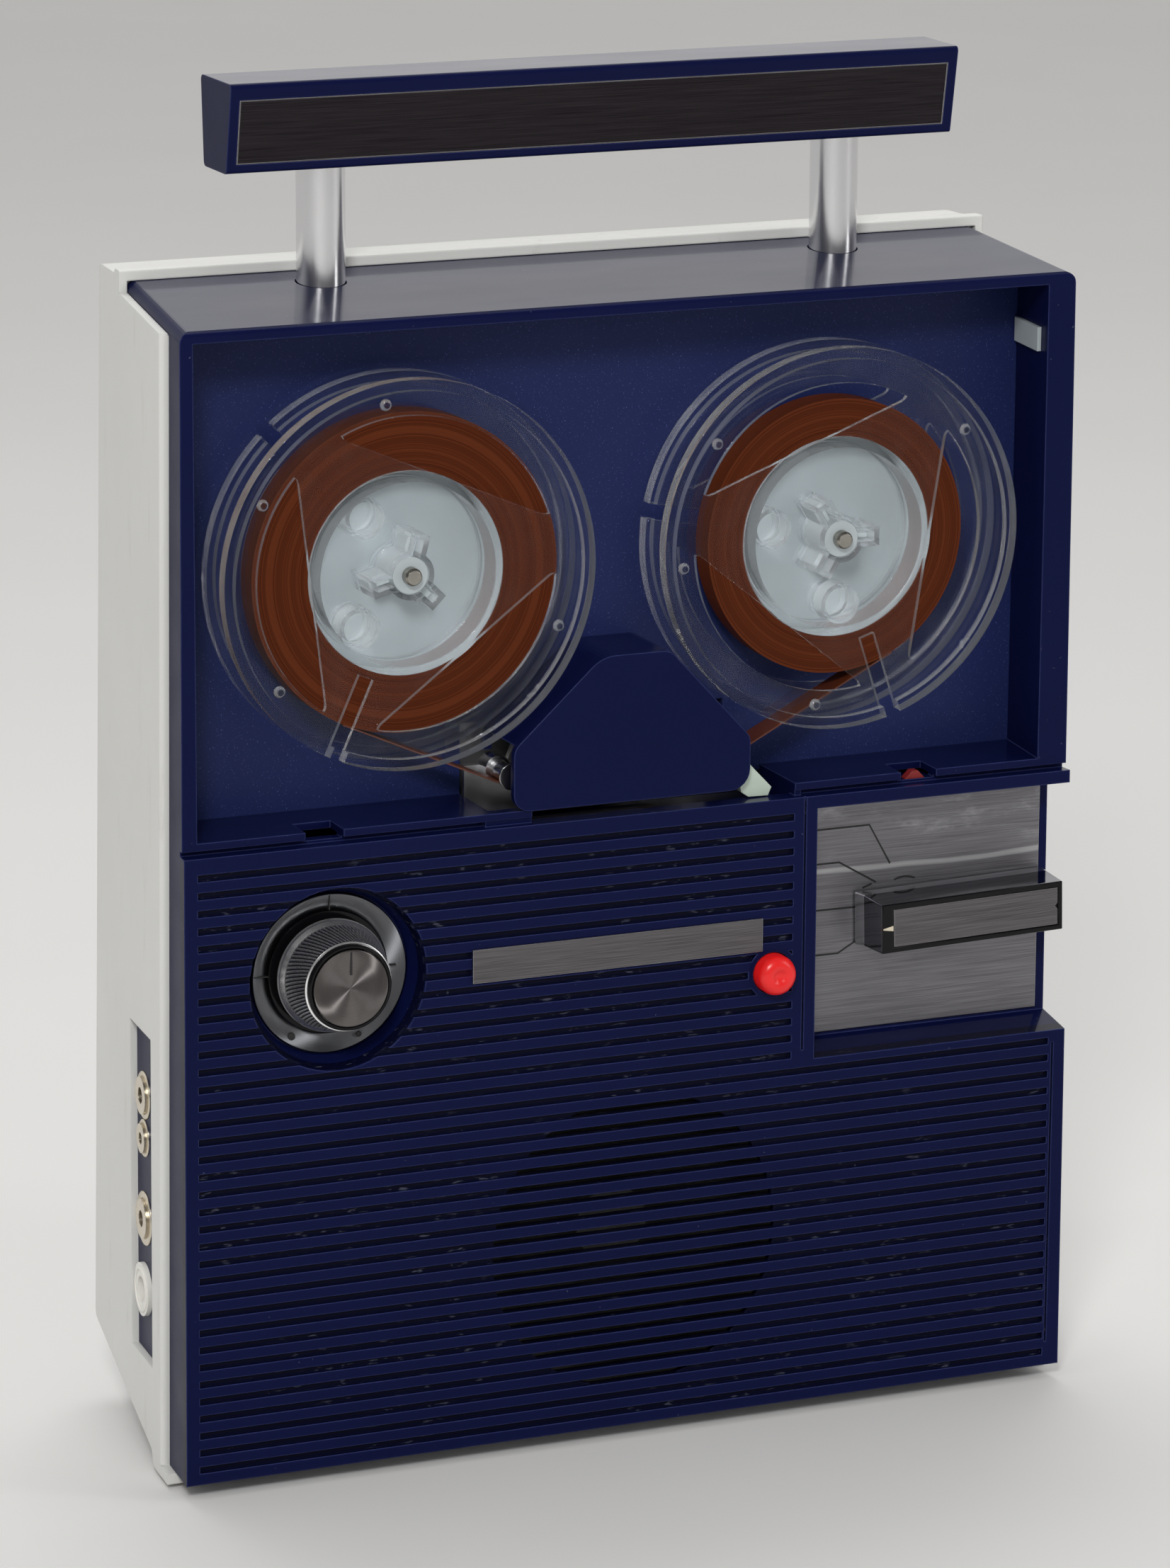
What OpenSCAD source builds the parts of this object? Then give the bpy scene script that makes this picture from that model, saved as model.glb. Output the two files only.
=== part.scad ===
// Portable reel-to-reel tape recorder, standing upright, reels to the front.
// X runs to the right seen from the front, Y runs back into the recorder, Z runs up, all in millimetres.
// Sizes along Y are measured from the ribbed front panel's face; the origin is set at the end of Hidden.

/* [Case] */
// Width across the front at the bottom edge
case_w = 205.8; // [202:0.2:212]
// Height of the front moulding's bottom edge above the table
front_bottom_z = 3.5; // [3.3:0.1:4.5]
// Height of the front edge of the top
front_top_z = 249.1; // [249:0.1:256]
// How far the upper frame stands back from the ribbed panel
bezel_y = 1.7; // [1:0.1:2.2]
// Slope of the top, rising to the back, in degrees
top_slope = 5.18; // [3:0.1:6]
// Depth of the navy top from the front panel's face
top_back_y = 44.5; // [43.5:0.1:46]
// Narrowing of the plan towards the back, in degrees a side
plan_taper = 4.86; // [3:0.1:5.2]
// Narrowing towards the top, in degrees a side
side_lean = 0.29; // [0.2:0.01:0.4]
// Wall of the front panel
front_wall = 2.5; // [2.2:0.1:3]
// Wall of the front moulding's sides, top and bottom
skirt_wall = 2.4; // [2:0.1:2.8]
// Depth of the parting line at the bottom
part_bottom_y = 14; // [12:0.1:14.5]
// Depth of the parting line at the top
part_top_y = 10; // [8:0.1:10.5]

/* [Back shell] */
// Wall of the back shell
shell_wall = 2.2; // [2:0.1:2.4]
// How far the back shell stands proud of the front moulding at the sides
rim_proud = 1.9; // [1.7:0.1:2.1]
// Rounding of the back shell's front edge
rim_edge_r = 1.4; // [0.6:0.1:1.5]
// How far the back shell's side edges lie below the top
side_drop = 2.3; // [1.5:0.1:2.3]
// Rounding of the navy top's side edges
top_edge_r = 2.2; // [1:0.1:2.3]
// Depth of the back face at the low height below
back_low_y = 73.5; // [71:0.5:80]
// Height where the back face is that deep
back_low_z = 26; // [24:0.5:28]
// Lean of the back face towards the front, in degrees
back_tilt = 2.59; // [1.5:0.1:3]
// Height of the back shell's top behind the lip
shell_top_z = 254.2; // [254:0.1:258]
// Rise of the lip above the shell's top
lip_rise = 1; // [0.3:0.1:1.2]
// Width of the lip from front to back
lip_w = 3; // [2:0.1:4]
// Overlap of the lip over the navy top
lip_over = 1.5; // [0.8:0.1:2]
// Radius of the rounded vertical corners at the back
back_corner_r = 5; // [4:0.5:9]
// Radius of the rounded top edge at the back
back_top_r = 6; // [3:0.5:8]
// Radius of the rounded bottom edge at the back
back_bottom_r = 8; // [4:0.5:10]
// Height of the flat land under the front
land_z = 1; // [0.8:0.1:1.2]
// Depth where the land starts
land_front_y = 9; // [8:0.1:10]
// Depth where the land ends
land_back_y = 20.5; // [19:0.5:22]
// Slope of the bottom behind the land, in degrees
bottom_slope = 16.9; // [12:0.1:18]
// Gap between the two mouldings
seam_gap = 0.1; // [0.05:0.01:0.15]

/* [Ribbed panel] */
// Height of the ribbed panel's top edge
panel_top_z = 139.8; // [139:0.1:141]
// Width of the groove above the panel
sill_groove_h = 1.2; // [0.8:0.1:1.4]
// Depth of the groove above the panel
sill_groove_y = 3.2; // [2.5:0.1:3.5]
// Spacing of the ribs
rib_pitch = 3.79; // [3.6:0.01:4.2]
// Width of a rib's flat
rib_flat = 2.27; // [1.8:0.01:2.6]
// Depth of the grooves between the ribs
rib_depth = 1; // [0.6:0.1:1.4]
// Number of grooves
rib_count = 35; // [28:1:35]
// Plain band above the first rib
rib_top_margin = 1.2; // [0.8:0.1:2]
// Plain border at the left and right of the ribs
rib_side_margin = 3; // [2.6:0.1:4]

/* [Reel well] */
// Border at the left of the well, from the case's widest line
well_left_border = 4.2; // [4:0.1:5]
// Border at the right of the well's mouth
well_right_border = 7.8; // [7:0.1:10]
// How far the right wall runs outwards towards the deck
well_right_draft = 1.9; // [0:0.1:2.4]
// Depth of the deck plate's face
deck_y = 20; // [19.5:0.1:22]
// Thickness of the sill
sill_wall = 1.6; // [1.2:0.1:2]
// Wall above the well's mouth at the front
well_top_wall = 2.4; // [2:0.1:3]
// Thickness of the deck plate
deck_plate_t = 1.2; // [0.8:0.1:1.5]
// Space between deck plate and chassis plate
chassis_gap = 2.8; // [2.5:0.1:3.5]
// Thickness of the chassis plate
chassis_t = 1.5; // [1:0.1:2]

/* [Handle] */
// Distance between the handle's posts
post_span = 117.8; // [112:0.2:124]
// Depth of the posts' middle
post_y = 33.3; // [32:0.1:34]
// Diameter of a post
post_d = 10.3; // [9:0.1:11]
// Height of the grip's top with the handle out
grip_top_z = 295.7; // [293:0.1:302]
// Height of the grip
grip_h = 18.9; // [16:0.1:22]
// Length of the grip
grip_w = 165.2; // [150:0.2:180]
// Depth of the grip's top at its front edge
grip_top_front_y = 22; // [21:0.1:23]
// Depth of the grip's top at its back edge
grip_top_back_y = 40; // [39:0.1:42]
// Depth of the grip's underside at its front edge
grip_low_front_y = 25.4; // [25:0.1:26]
// Depth of the grip's underside at its back edge
grip_low_back_y = 38.6; // [38.5:0.1:39]
// How far the handle slides down
handle_travel = 23; // [18:0.5:23]
// Height of the inlay strip on the grip
grip_inlay_h = 13.8; // [12:0.1:15]
// Margin of the inlay strip at each end of the grip
grip_inlay_margin = 2.1; // [1.5:0.1:4]
// Running clearance of a post in its sleeve
post_clear = 0.06; // [0.03:0.01:0.1]

/* [Reels] */
// Diameter of a reel
reel_d = 82.55; // [80:0.05:83]
// Width of a reel over its rims
reel_w = 14; // [13.5:0.1:14.4]
// Depth of a reel's front rim face
reel_front_y = 3.6; // [3.4:0.1:3.8]
// Height of the reels' middle
reel_z = 194.5; // [194:0.1:196]
// Middle of the left reel, to the left
reel_left_x = 50.3; // [50:0.1:52]
// Middle of the right reel, to the right
reel_right_x = 48.3; // [48:0.1:50]
// Thickness of a flange
flange_t = 1.3; // [1:0.1:1.5]
// How far the flange lies in from the rim's face
flange_in = 2; // [1.7:0.1:2.1]
// Radial width of the rim
rim_w = 2.4; // [1.8:0.1:3]
// Outer radius of the hub
hub_r = 21.6; // [20:0.1:23]
// Wall of the hub
hub_wall = 2; // [1.2:0.1:2.4]
// Radius of the spindle hole
reel_bore_r = 4.05; // [4:0.01:4.2]
// Distance of a window's straight edge from the middle
window_near = 21.4; // [21:0.1:24]
// Outer radius of the windows
window_far = 33.4; // [31:0.1:35]
// Width of the threading slots
slot_w = 3.4; // [2.5:0.1:4]
// Width of the tape
tape_w = 6.3; // [6.2:0.01:6.35]
// Radius of the wound tape on the left reel
pack_left_r = 34; // [26:0.1:36]
// Radius of the wound tape on the right reel
pack_right_r = 29.8; // [26:0.1:36]
// Thickness of the modelled run of tape
tape_t = 0.3; // [0.2:0.05:0.4]

/* [Turntables] */
// Radius of a turntable
turntable_r = 24; // [23:0.1:28]
// Thickness of a turntable
turntable_t = 1.6; // [1.2:0.1:1.8]
// Radius of a spindle pin
pin_r = 1.875; // [1.7:0.01:2]
// Running clearance of shafts in their bushes
shaft_clear = 0.04; // [0.02:0.01:0.08]
// Outer radius of the spindle bushes
bush_r = 3.5; // [3:0.1:4]

/* [Heads and tape path] */
// Left end of the head cover
cover_left_x = -28.3; // [-30:0.1:-27]
// Right end of the head cover
cover_right_x = 26.1; // [25.8:0.1:28]
// Height of the head cover's bottom edge
cover_bottom_z = 142.5; // [142.5:0.1:143]
// Height of the head cover's top
cover_top_z = 174.4; // [174:0.1:176]
// Height where the left slope starts
cover_left_z = 156; // [154:0.1:157]
// Height where the right slope starts
cover_right_z = 154; // [153:0.1:155]
// Depth of the head cover's front face
cover_front_y = 1.2; // [1:0.1:1.4]
// Wall of the head cover
cover_wall = 1.8; // [1.4:0.1:2]
// Height of the tape between the guides
tape_z = 146.9; // [146.5:0.1:147.1]
// Radius of a tape guide
guide_r = 2; // [1.6:0.1:2.1]
// Left tape guide
guide_left_x = -26.6; // [-27:0.1:-26]
// Right tape guide
guide_right_x = 20.8; // [20.5:0.1:21]
// Radius of the capstan
capstan_r = 1.5; // [1.2:0.1:1.6]
// Place of the capstan, to the right
capstan_x = 11.5; // [11:0.1:12]
// Radius of the pinch roller
roller_r = 5; // [4.5:0.1:5.1]
// Gap between pinch roller and tape when stopped
roller_lift = 1.2; // [1:0.1:1.4]
// Pivot of the pinch arm, to the right
pinch_x = 21.3; // [21.2:0.1:21.4]
// Pivot of the pinch arm, height
pinch_z = 152.6; // [152.5:0.1:152.7]

/* [Drive] */
// Radius of the flywheel
flywheel_r = 24; // [20:0.5:25]
// Thickness of the flywheel
flywheel_t = 4.6; // [4:0.1:5]
// Radius of the small pulley on the flywheel
flywheel_pulley_r = 7; // [5:0.1:8]
// Radius of the motor pulley
motor_pulley_r = 4; // [3:0.1:5]
// Radius of the take-up pulley
takeup_pulley_r = 8.5; // [7:0.1:9]
// Thickness of the belts
belt_t = 0.8; // [0.6:0.1:1]
// Width of the belts
belt_w = 3; // [2:0.1:3.2]
// Radius of the motor
motor_r = 14; // [12:0.5:15]
// Length of the motor
motor_l = 22; // [18:0.5:24]
// Place of the motor, to the left
motor_x = -48; // [-50:0.5:-46]
// Height of the motor's shaft
motor_z = 122; // [120:0.5:124]

/* [Volume control] */
// Place of the volume control, from the case's left side
volume_in = 34.6; // [33:0.1:36]
// Height of the volume control
volume_z = 110.8; // [108:0.1:114]
// Radius of the recess at the panel's face
volume_recess_r = 19.8; // [19:0.1:21]
// Depth of the recess
volume_recess_y = 6.5; // [6:0.1:7.5]
// Radius of the marked dial
dial_r = 17.3; // [16.5:0.1:17.4]
// Radius of the hole in the dial
dial_hole_r = 13.2; // [13:0.1:13.8]
// Radius of the knob at its base
knob_base_r = 12.2; // [11.5:0.1:12.6]
// Radius of the knob at its face
knob_face_r = 9; // [8.8:0.1:10]
// How far the knob's cap stands in front of the panel
knob_out = 7.3; // [6.5:0.1:8]
// Radius of the knob's cap
knob_cap_r = 8.35; // [8:0.05:8.5]
// Radius of the control's shaft
volume_shaft_r = 3; // [2.5:0.1:3.1]

/* [Button and name plate] */
// Place of the record button, to the right
button_x = 31.5; // [31:0.1:32]
// Height of the record button
button_z = 101.5; // [100:0.1:103]
// Radius of the record button
button_r = 4.4; // [4:0.1:4.6]
// How far the button stands out
button_out = 4; // [3.6:0.1:4.5]
// How far the button is pressed
button_travel = 2.5; // [1.5:0.1:3]
// Left end of the name plate
plate_left_x = -38.2; // [-40:0.1:-36]
// Right end of the name plate
plate_right_x = 28.8; // [25:0.1:29]
// Height of the name plate's bottom edge
plate_z = 106.7; // [106.6:0.1:108]
// Height of the name plate itself
plate_h = 7.3; // [6:0.1:9]
// Thickness of the name plate
plate_t = 0.5; // [0.4:0.05:0.8]

/* [Selector] */
// Left wall of the selector recess, from the case's right side
selector_border = 61.3; // [60.5:0.1:62]
// Height of the recess at its floor, bottom edge
selector_low_z = 83.4; // [83:0.1:85]
// Top edge of the recess
selector_high_z = 137; // [136.5:0.1:138.2]
// Depth of the recess
selector_floor_y = 9; // [8.5:0.1:9.2]
// Slope of the ledge below the recess, in degrees
ledge_slope = 14; // [8:0.5:16]
// Thickness of the selector plate
selector_plate_t = 0.5; // [0.4:0.05:0.7]
// Place of the selector's axis, from the case's right side
selector_in = 25.1; // [24.6:0.1:26]
// Height of the selector's axis
selector_z = 109.8; // [109:0.1:111]
// Length of the bar knob at its face
bar_w = 43.7; // [42:0.1:45]
// Height of the bar knob at its face
bar_h = 10.9; // [9:0.1:12]
// Growth of the bar knob from face to base, each side
bar_draft = 0.5; // [0.2:0.1:0.8]
// How far the bar knob stands in front of the panel
bar_out = 3; // [2:0.1:4]
// Turn of the bar at rest, in degrees
bar_turn = -1.5; // [-2:0.1:0]
// Radius of the selector's shaft
selector_shaft_r = 3; // [2.5:0.1:4]

/* [Jack panel] */
// Depth of the jack panel's middle
jack_y = 29.5; // [29:0.1:31]
// Height of the jack panel's middle
jack_z = 59.4; // [58:0.1:61]
// Height of the opening in the side
jack_opening_h = 72.7; // [70:0.1:74]
// Width of the opening in the side
jack_opening_w = 17.2; // [16:0.1:18]
// Radius of a large jack's hole
jack_hole_r = 1.8; // [1.78:0.01:1.85]
// Radius of the small jack's hole
small_jack_hole_r = 1.3; // [1.28:0.01:1.35]
// Radius of the power inlet's hole
inlet_hole_r = 2.8; // [2.5:0.05:3]

/* [Speaker and circuit board] */
// Height of the loudspeaker's middle
speaker_z = 45; // [44.8:0.1:46]
// Radius of the loudspeaker
speaker_r = 38.5; // [36:0.1:39]
// Depth of the loudspeaker
speaker_depth = 24; // [20:0.5:26]
// Height of the circuit board's bottom edge
board_z = 94; // [93:0.5:96]
// Height of the circuit board
board_h = 64; // [50:0.5:70]
// Width of the circuit board
board_w = 112; // [90:0.5:114]
// Depth of the circuit board
board_y = 48; // [46:0.5:50]

/* [Batteries] */
// Diameter of a cell
cell_d = 26.2; // [25.5:0.1:26.2]
// Length of a cell
cell_l = 50; // [49:0.1:50]
// Width of the battery door
door_w = 112; // [110:0.5:116]
// Height of the battery door
door_h = 59; // [58.5:0.1:61]
// Thickness of the battery door
door_t = 2; // [1.6:0.1:2]
// Clearance round the battery door
door_clear = 0.4; // [0.3:0.05:0.6]

/* [Screws and feet] */
// Radius of a case screw
screw_r = 1.4; // [1.2:0.1:1.6]
// Radius of a case screw's head
screw_head_r = 2.9; // [2.6:0.1:3]
// Distance of the lower case screws from the middle
low_screw_x = 78; // [74:0.5:80]
// Height of the lower case screws
low_screw_z = 30; // [29:0.5:32]
// Distance of the upper case screws from the middle
high_screw_x = 80; // [77:0.5:82]
// Height of the upper case screws
high_screw_z = 240; // [238:0.5:241]
// Distance of the front pads from the middle
pad_x = 85; // [78:0.5:88]
// Radius of a front pad
pad_r = 4.5; // [3.5:0.1:5]
// Distance of the rear feet from the middle
foot_x = 80; // [76:0.5:82]
// Depth of the rear feet
foot_y = 52; // [48:0.5:55]
// Radius of a rear foot
foot_r = 6.5; // [5:0.1:8]

/* [Hidden] */
$fn = 64;

// Small overlap that lets joined shapes meet, and reach of a cut past a face
over = 1;
// Fillet points on a quarter turn
arc_steps = 6;

// Points of an arc that rounds the corner at p1 with radius r
function unit(v) = v / norm(v);
function turn_within(d) = d > 180 ? d - 360 : (d < -180 ? d + 360 : d);
function corner_arc(p0, p1, p2, r) =
  r <= 0 ? [p1] :
  let (a = unit(p0 - p1))
  let (b = unit(p2 - p1))
  let (half = acos(a * b) / 2)
  let (c = p1 + unit(a + b) * r / sin(half))
  let (s = p1 + a * r / tan(half))
  let (e = p1 + b * r / tan(half))
  let (a0 = atan2(s.y - c.y, s.x - c.x))
  let (sweep = turn_within(atan2(e.y - c.y, e.x - c.x) - a0))
  [for (i = [0:arc_steps]) c + r * [cos(a0 + sweep * i / arc_steps), sin(a0 + sweep * i / arc_steps)]];
function rounded(pts, radii) =
  let (n = len(pts))
  [for (i = [0:n - 1]) each corner_arc(pts[(i + n - 1) % n], pts[i], pts[(i + 1) % n], radii[i])];
// The same convex outline, d further in
function inset(pts, d) =
  let (n = len(pts))
  [for (i = [0:n - 1])
    let (a = unit(pts[(i + n - 1) % n] - pts[i]))
    let (b = unit(pts[(i + 1) % n] - pts[i]))
    pts[i] + unit(a + b) * d / sin(acos(a * b) / 2)];
// Direction from two circles' middles to the points where their common outer tangent touches them
function tangent_dir(c1, r1, c2, r2, side) =
  atan2(c2.y - c1.y, c2.x - c1.x) + side * acos((r1 - r2) / norm(c2 - c1));
function on_circle(c, r, a) = c + r * [cos(a), sin(a)];

// Case
function half_width(out, y) = case_w / 2 + out - y * tan(plan_taper);
function half_width_at(out, y, z) = half_width(out, y) - (z - front_bottom_z) * tan(side_lean);
part_lean = (part_bottom_y - part_top_y) / (front_top_z - front_bottom_z);
function part_y(z) = part_bottom_y - (z - front_bottom_z) * part_lean;
function top_z(y) = front_top_z + (y - bezel_y) * tan(top_slope);
function back_y(z) = back_low_y - (z - back_low_z) * tan(back_tilt);
sill_low_z = panel_top_z + sill_groove_h;
sill_z = sill_low_z + sill_wall;
well_top_z = front_top_z - well_top_wall;
reach = 20;
tongue_in = rim_proud - shell_wall - seam_gap - 0.5;
tongue_l = 3.5;
shell_in = rim_proud - shell_wall;
well_out = shell_in - 2 * seam_gap;
shell_floor_z = front_bottom_z - 1.5 * seam_gap;
step_run = 1.5;
step_rise = 3.5;
well_left_x = case_w / 2 - well_left_border;
well_right_x = case_w / 2 - well_right_border;
slope_y = land_back_y + step_run;
slope_z = land_z + step_rise;
function slope_at(y) = slope_z + (y - slope_y) * tan(bottom_slope);
slope_wall = shell_wall / cos(bottom_slope);
// The corner where the sloping bottom meets the back face
corner_y = (back_y(slope_z - slope_y * tan(bottom_slope))) / (1 + tan(bottom_slope) * tan(back_tilt));
back_corner = [corner_y, slope_at(corner_y)];
lip_front_y = top_back_y - lip_over;
lip_back_y = lip_front_y + lip_w;
part_end = [part_y(top_z(part_top_y)), top_z(part_top_y)];
shell_points = [
  [land_front_y, land_z],
  [land_back_y, land_z],
  [slope_y, slope_z],
  back_corner,
  [back_y(shell_top_z), shell_top_z],
  [lip_back_y + lip_rise, shell_top_z],
  [lip_back_y, shell_top_z + lip_rise],
  [lip_front_y, shell_top_z + lip_rise],
  [lip_front_y, top_z(lip_front_y) - side_drop],
  part_end + [seam_gap, -side_drop],
  [part_y(front_bottom_z) + seam_gap, front_bottom_z],
  [part_y(front_bottom_z) + seam_gap, shell_floor_z],
  [land_front_y, shell_floor_z]
];
shell_radii = [0, 0, 0, back_bottom_r, back_top_r, 0, 0.4, 0.4, 0, 0, 0, 0, 0];
shell_outline = rounded(shell_points, shell_radii);
deck_back_y = deck_y + deck_plate_t;
deck_top_z = front_top_z - skirt_wall + (deck_y - bezel_y - 1) * tan(top_slope) - 0.2;
chassis_y = deck_back_y + chassis_gap;
chassis_back_y = chassis_y + chassis_t;

// Origin below the middle of the whole recorder
deepest_y = max([for (p = shell_outline) p.x]);
origin_y = (deepest_y - knob_out) / 2;

// Handle
grip_low_z = grip_top_z - grip_h;
grip_lean = atan((grip_low_front_y - grip_top_front_y) / grip_h);
grip_inlay_t = 0.8;
grip_inlay_rise = (grip_h / cos(grip_lean) - grip_inlay_h) * 0.36;
sleeve_boss_r = 8.5;
sleeve_boss_z = top_z(post_y) - skirt_wall - 3;
sleeve_flange_t = 3;
sleeve_low_z = sleeve_boss_z - 14.7;
post_foot_gap = 0.3;
post_foot_t = 2.5;
post_foot_r = post_d / 2 + 1.25;
post_in_grip = 10;

// Reels
function reel_x(right) = right ? reel_right_x : -reel_left_x;
function pack_r(right) = right ? pack_right_r : pack_left_r;
reel_back_y = reel_front_y + reel_w;
flange_front_y = reel_front_y + flange_in;
flange_back_y = reel_back_y - flange_in;
reel_mid_y = reel_front_y + reel_w / 2;
hub_in_r = hub_r - hub_wall;
tape_front_y = reel_mid_y - tape_w / 2;
tape_back_y = reel_mid_y + tape_w / 2;
window_corner_r = 2;
web_t = 1.2;
web_y = flange_back_y - 3.4;
boss_wall = 1.1;
boss_front_y = reel_front_y + 0.6;
spline_r = 7.5;
spline_w = 1.5;
spline_clear = 0.25;
peg_hole_r = 3.5;
peg_hole_at = 15;
peg_wall = 0.9;
// Angles seen from the front, from the right, against the clock: front and back windows, slots, splines, pegs
left_window_a = 67;
right_window_a = 111;
left_slots_a = [246, 132];
right_slots_a = [288, 170];
left_splines_a = 75;
right_splines_a = 0;
left_pegs_a = [126, 228];
right_pegs_a = [170, 276];
turntable_y = flange_back_y + 0.1;
turntable_back_y = turntable_y + turntable_t;
post_tip_y = reel_front_y + 1;
drive_post_r = reel_bore_r - 0.15;
turntable_hub_r = 8;
bush_front_y = deck_y - 0.4;
bush_flange_r = 6;
bush_back_y = chassis_back_y + 4.5;
pin_front_y = reel_front_y - 1.3;

// Drive
capstan_z = tape_z - tape_t - 0.2 - capstan_r;
flywheel_y = chassis_back_y + 1.5;
flywheel_back_y = flywheel_y + flywheel_t;
takeup_y = flywheel_back_y + 0.4;
pulley_flange_t = 0.4;
drive_bracket_y = takeup_y + belt_w + 2 * pulley_flange_t + 1.6;
drive_bracket_t = 1.5;
belt_run = 0.05;
capstan_c = [capstan_x, capstan_z];
motor_c = [motor_x, motor_z];
right_c = [reel_right_x, reel_z];
motor_y = drive_bracket_y + drive_bracket_t;
belt_y = flywheel_y + (flywheel_t - belt_w) / 2;

// Heads
bracket_y = deck_y - 1.6;
bracket_t = 1.5;
guide_z = tape_z + guide_r;
guide_front_y = tape_front_y - 1.1;
roller_c = [capstan_x, tape_z + roller_lift + roller_r];
pinch_c = [pinch_x, pinch_z];
pinch_pin_r = 1.25;
pinch_arm_y = cover_front_y + cover_wall + 0.7;
pinch_hub_l = 2.3;
pinch_arm_t = 2;
pinch_stud_r = 1.25;
pinch_hub_r = 2.25;
slot_top_z = 156.5;
cover_points = [
  [cover_left_x, cover_bottom_z],
  [cover_right_x, cover_bottom_z],
  [cover_right_x, cover_right_z],
  [7.3, cover_top_z],
  [-8.3, cover_top_z],
  [cover_left_x, cover_left_z]
];
pocket_left_x = -33;
pocket_right_x = 37;
pocket_z = 137;
gap_left_x = -24;
notch_z = sill_low_z - 0.5;
notch_xs = [-74.9, 62.1];
notch_w = 8.5;
notch_back_y = 9.5;

// Volume control
volume_x = volume_in - case_w / 2;
dial_y = volume_recess_y - 1.3;
knob_base_y = dial_y - 0.9;
knob_face_y = -(knob_out - 0.4);
volume_floor_y = volume_recess_y + 2;
pot_r = 8.2;
volume_low_y = volume_recess_y - 0.8;
volume_mouth_r = volume_recess_r + over * (volume_recess_r - dial_r - 0.4) / volume_low_y;
pot_back_y = chassis_y - 2.5;

// Record button
button_flange_y = front_wall + 0.3;
button_flange_t = 1.2;

// Selector
selector_left_x = case_w / 2 - selector_border;
selector_x = case_w / 2 - selector_in;
recess_back_y = selector_floor_y + 2.2;
selector_plate_y = selector_floor_y - selector_plate_t;
bar_back_y = selector_plate_y - 0.4;
bar_inlay_t = 0.5;
selector_strip = 2.2;

// Circuit board and its fixing points
board_mid_x = 33;
board_t = 1.6;
board_xs = [board_mid_x - board_w / 2 + 5, board_mid_x + board_w / 2 - 5];
board_zs = [board_z + 4, board_z + board_h - 4];

// Jack panel: depth of the plate behind the shell's outer face
jack_plate_t = 1;
jack_plate_in = shell_wall + 0.15;
jack_face_in = 1.5;
jack_bush_in = 0.5;
jack_along = [20.9, 11.4, -6.5];
jack_rs = [4.05, 3.2, 4.3];
inlet_along = -22.3;
inlet_r = 5.8;
jack_off_y = 2.5;

// Batteries, in the back face's own frame
door_low = 4;
tray_wall = 1.6;
tray_half_w = cell_l + 3.5;
tray_low = door_low + 2.4;
tray_high = door_low + door_h - 1.4;
tray_y = shell_wall + 0.1;
cell_y = tray_y + 0.9 + cell_d / 2;
cell_rows = [tray_low + 0.6 + cell_d / 2, tray_high - 0.6 - cell_d / 2];
tray_back_y = cell_y + cell_d / 2 + 0.8;
hinge_r = door_t / 2;
hinge_pin_r = 0.6;
hinge_pin_l = 1.6;

screw_column_r = 4.4;
low_boss_y = 26;
high_boss_y = 41;
screw_l = 12;

// Helpers that place things
module from_front() translate([0, -origin_y, 0]) children();
module along_x(x0, x1) translate([x0, 0, 0]) rotate([90, 0, 90]) linear_extrude(x1 - x0) children();
module along_y(y0, y1) translate([0, y1, 0]) rotate([90, 0, 0]) linear_extrude(y1 - y0) children();
module rod_y(x, z, y0, y1, r) translate([x, y0, z]) rotate([-90, 0, 0]) cylinder(h = y1 - y0, r = r);
module cone_y(x, z, y0, y1, r0, r1) translate([x, y0, z]) rotate([-90, 0, 0]) cylinder(h = y1 - y0, r1 = r0, r2 = r1);
module block(x, y, z) translate([x[0], y[0], z[0]]) cube([x[1] - x[0], y[1] - y[0], z[1] - z[0]]);
module both_sides() {
  children();
  mirror([1, 0, 0]) children();
}
module on_back() translate([0, back_low_y, back_low_z]) rotate([back_tilt, 0, 0]) children();
module on_left(y, z)
  translate([-half_width_at(rim_proud, y, z), y, z]) rotate([0, side_lean, -plan_taper]) children();
module on_grip_face() translate([0, grip_low_front_y, grip_low_z]) rotate([grip_lean, 0, 0]) children();

// Everything within the tapered plan of the front moulding, widened by out
module front_plan(out, y0, y1) {
  both_sides()
    translate([0, 0, front_bottom_z]) rotate([0, -side_lean, 0]) translate([0, 0, -reach])
      linear_extrude(front_top_z + 3 * reach)
        polygon([[-6, y0], [half_width(out, y0), y0], [half_width(out, y1), y1], [-6, y1]]);
}
// The back shell's plan with rounded back corners, leaning as the back does, smaller by in
module shell_plan(in) {
  y1 = back_y(front_bottom_z) - in;
  lean = atan(tan(side_lean) - tan(plan_taper) * tan(back_tilt));
  out = rim_proud - in;
  both_sides()
    translate([0, 0, front_bottom_z]) rotate([back_tilt, -lean, 0]) translate([0, 0, -reach])
      linear_extrude(front_top_z + 3 * reach)
        polygon(rounded(
          [[-6, 0], [half_width(out, 0), 0], [half_width(out, y1), y1], [-6, y1]],
          [0, 0, back_corner_r - in, 0]));
}

// What lies outside an edge rounded with radius r; the edge runs along Z through the origin, the body is at -x, +y
module round_edge(r, h) {
  linear_extrude(h) polygon(concat(
    [[over, -over], [over, r]],
    [for (i = [0:arc_steps]) [-r, r] + r * [cos(-90 * i / arc_steps), sin(-90 * i / arc_steps)]],
    [[-r, -over]]));
}

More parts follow.
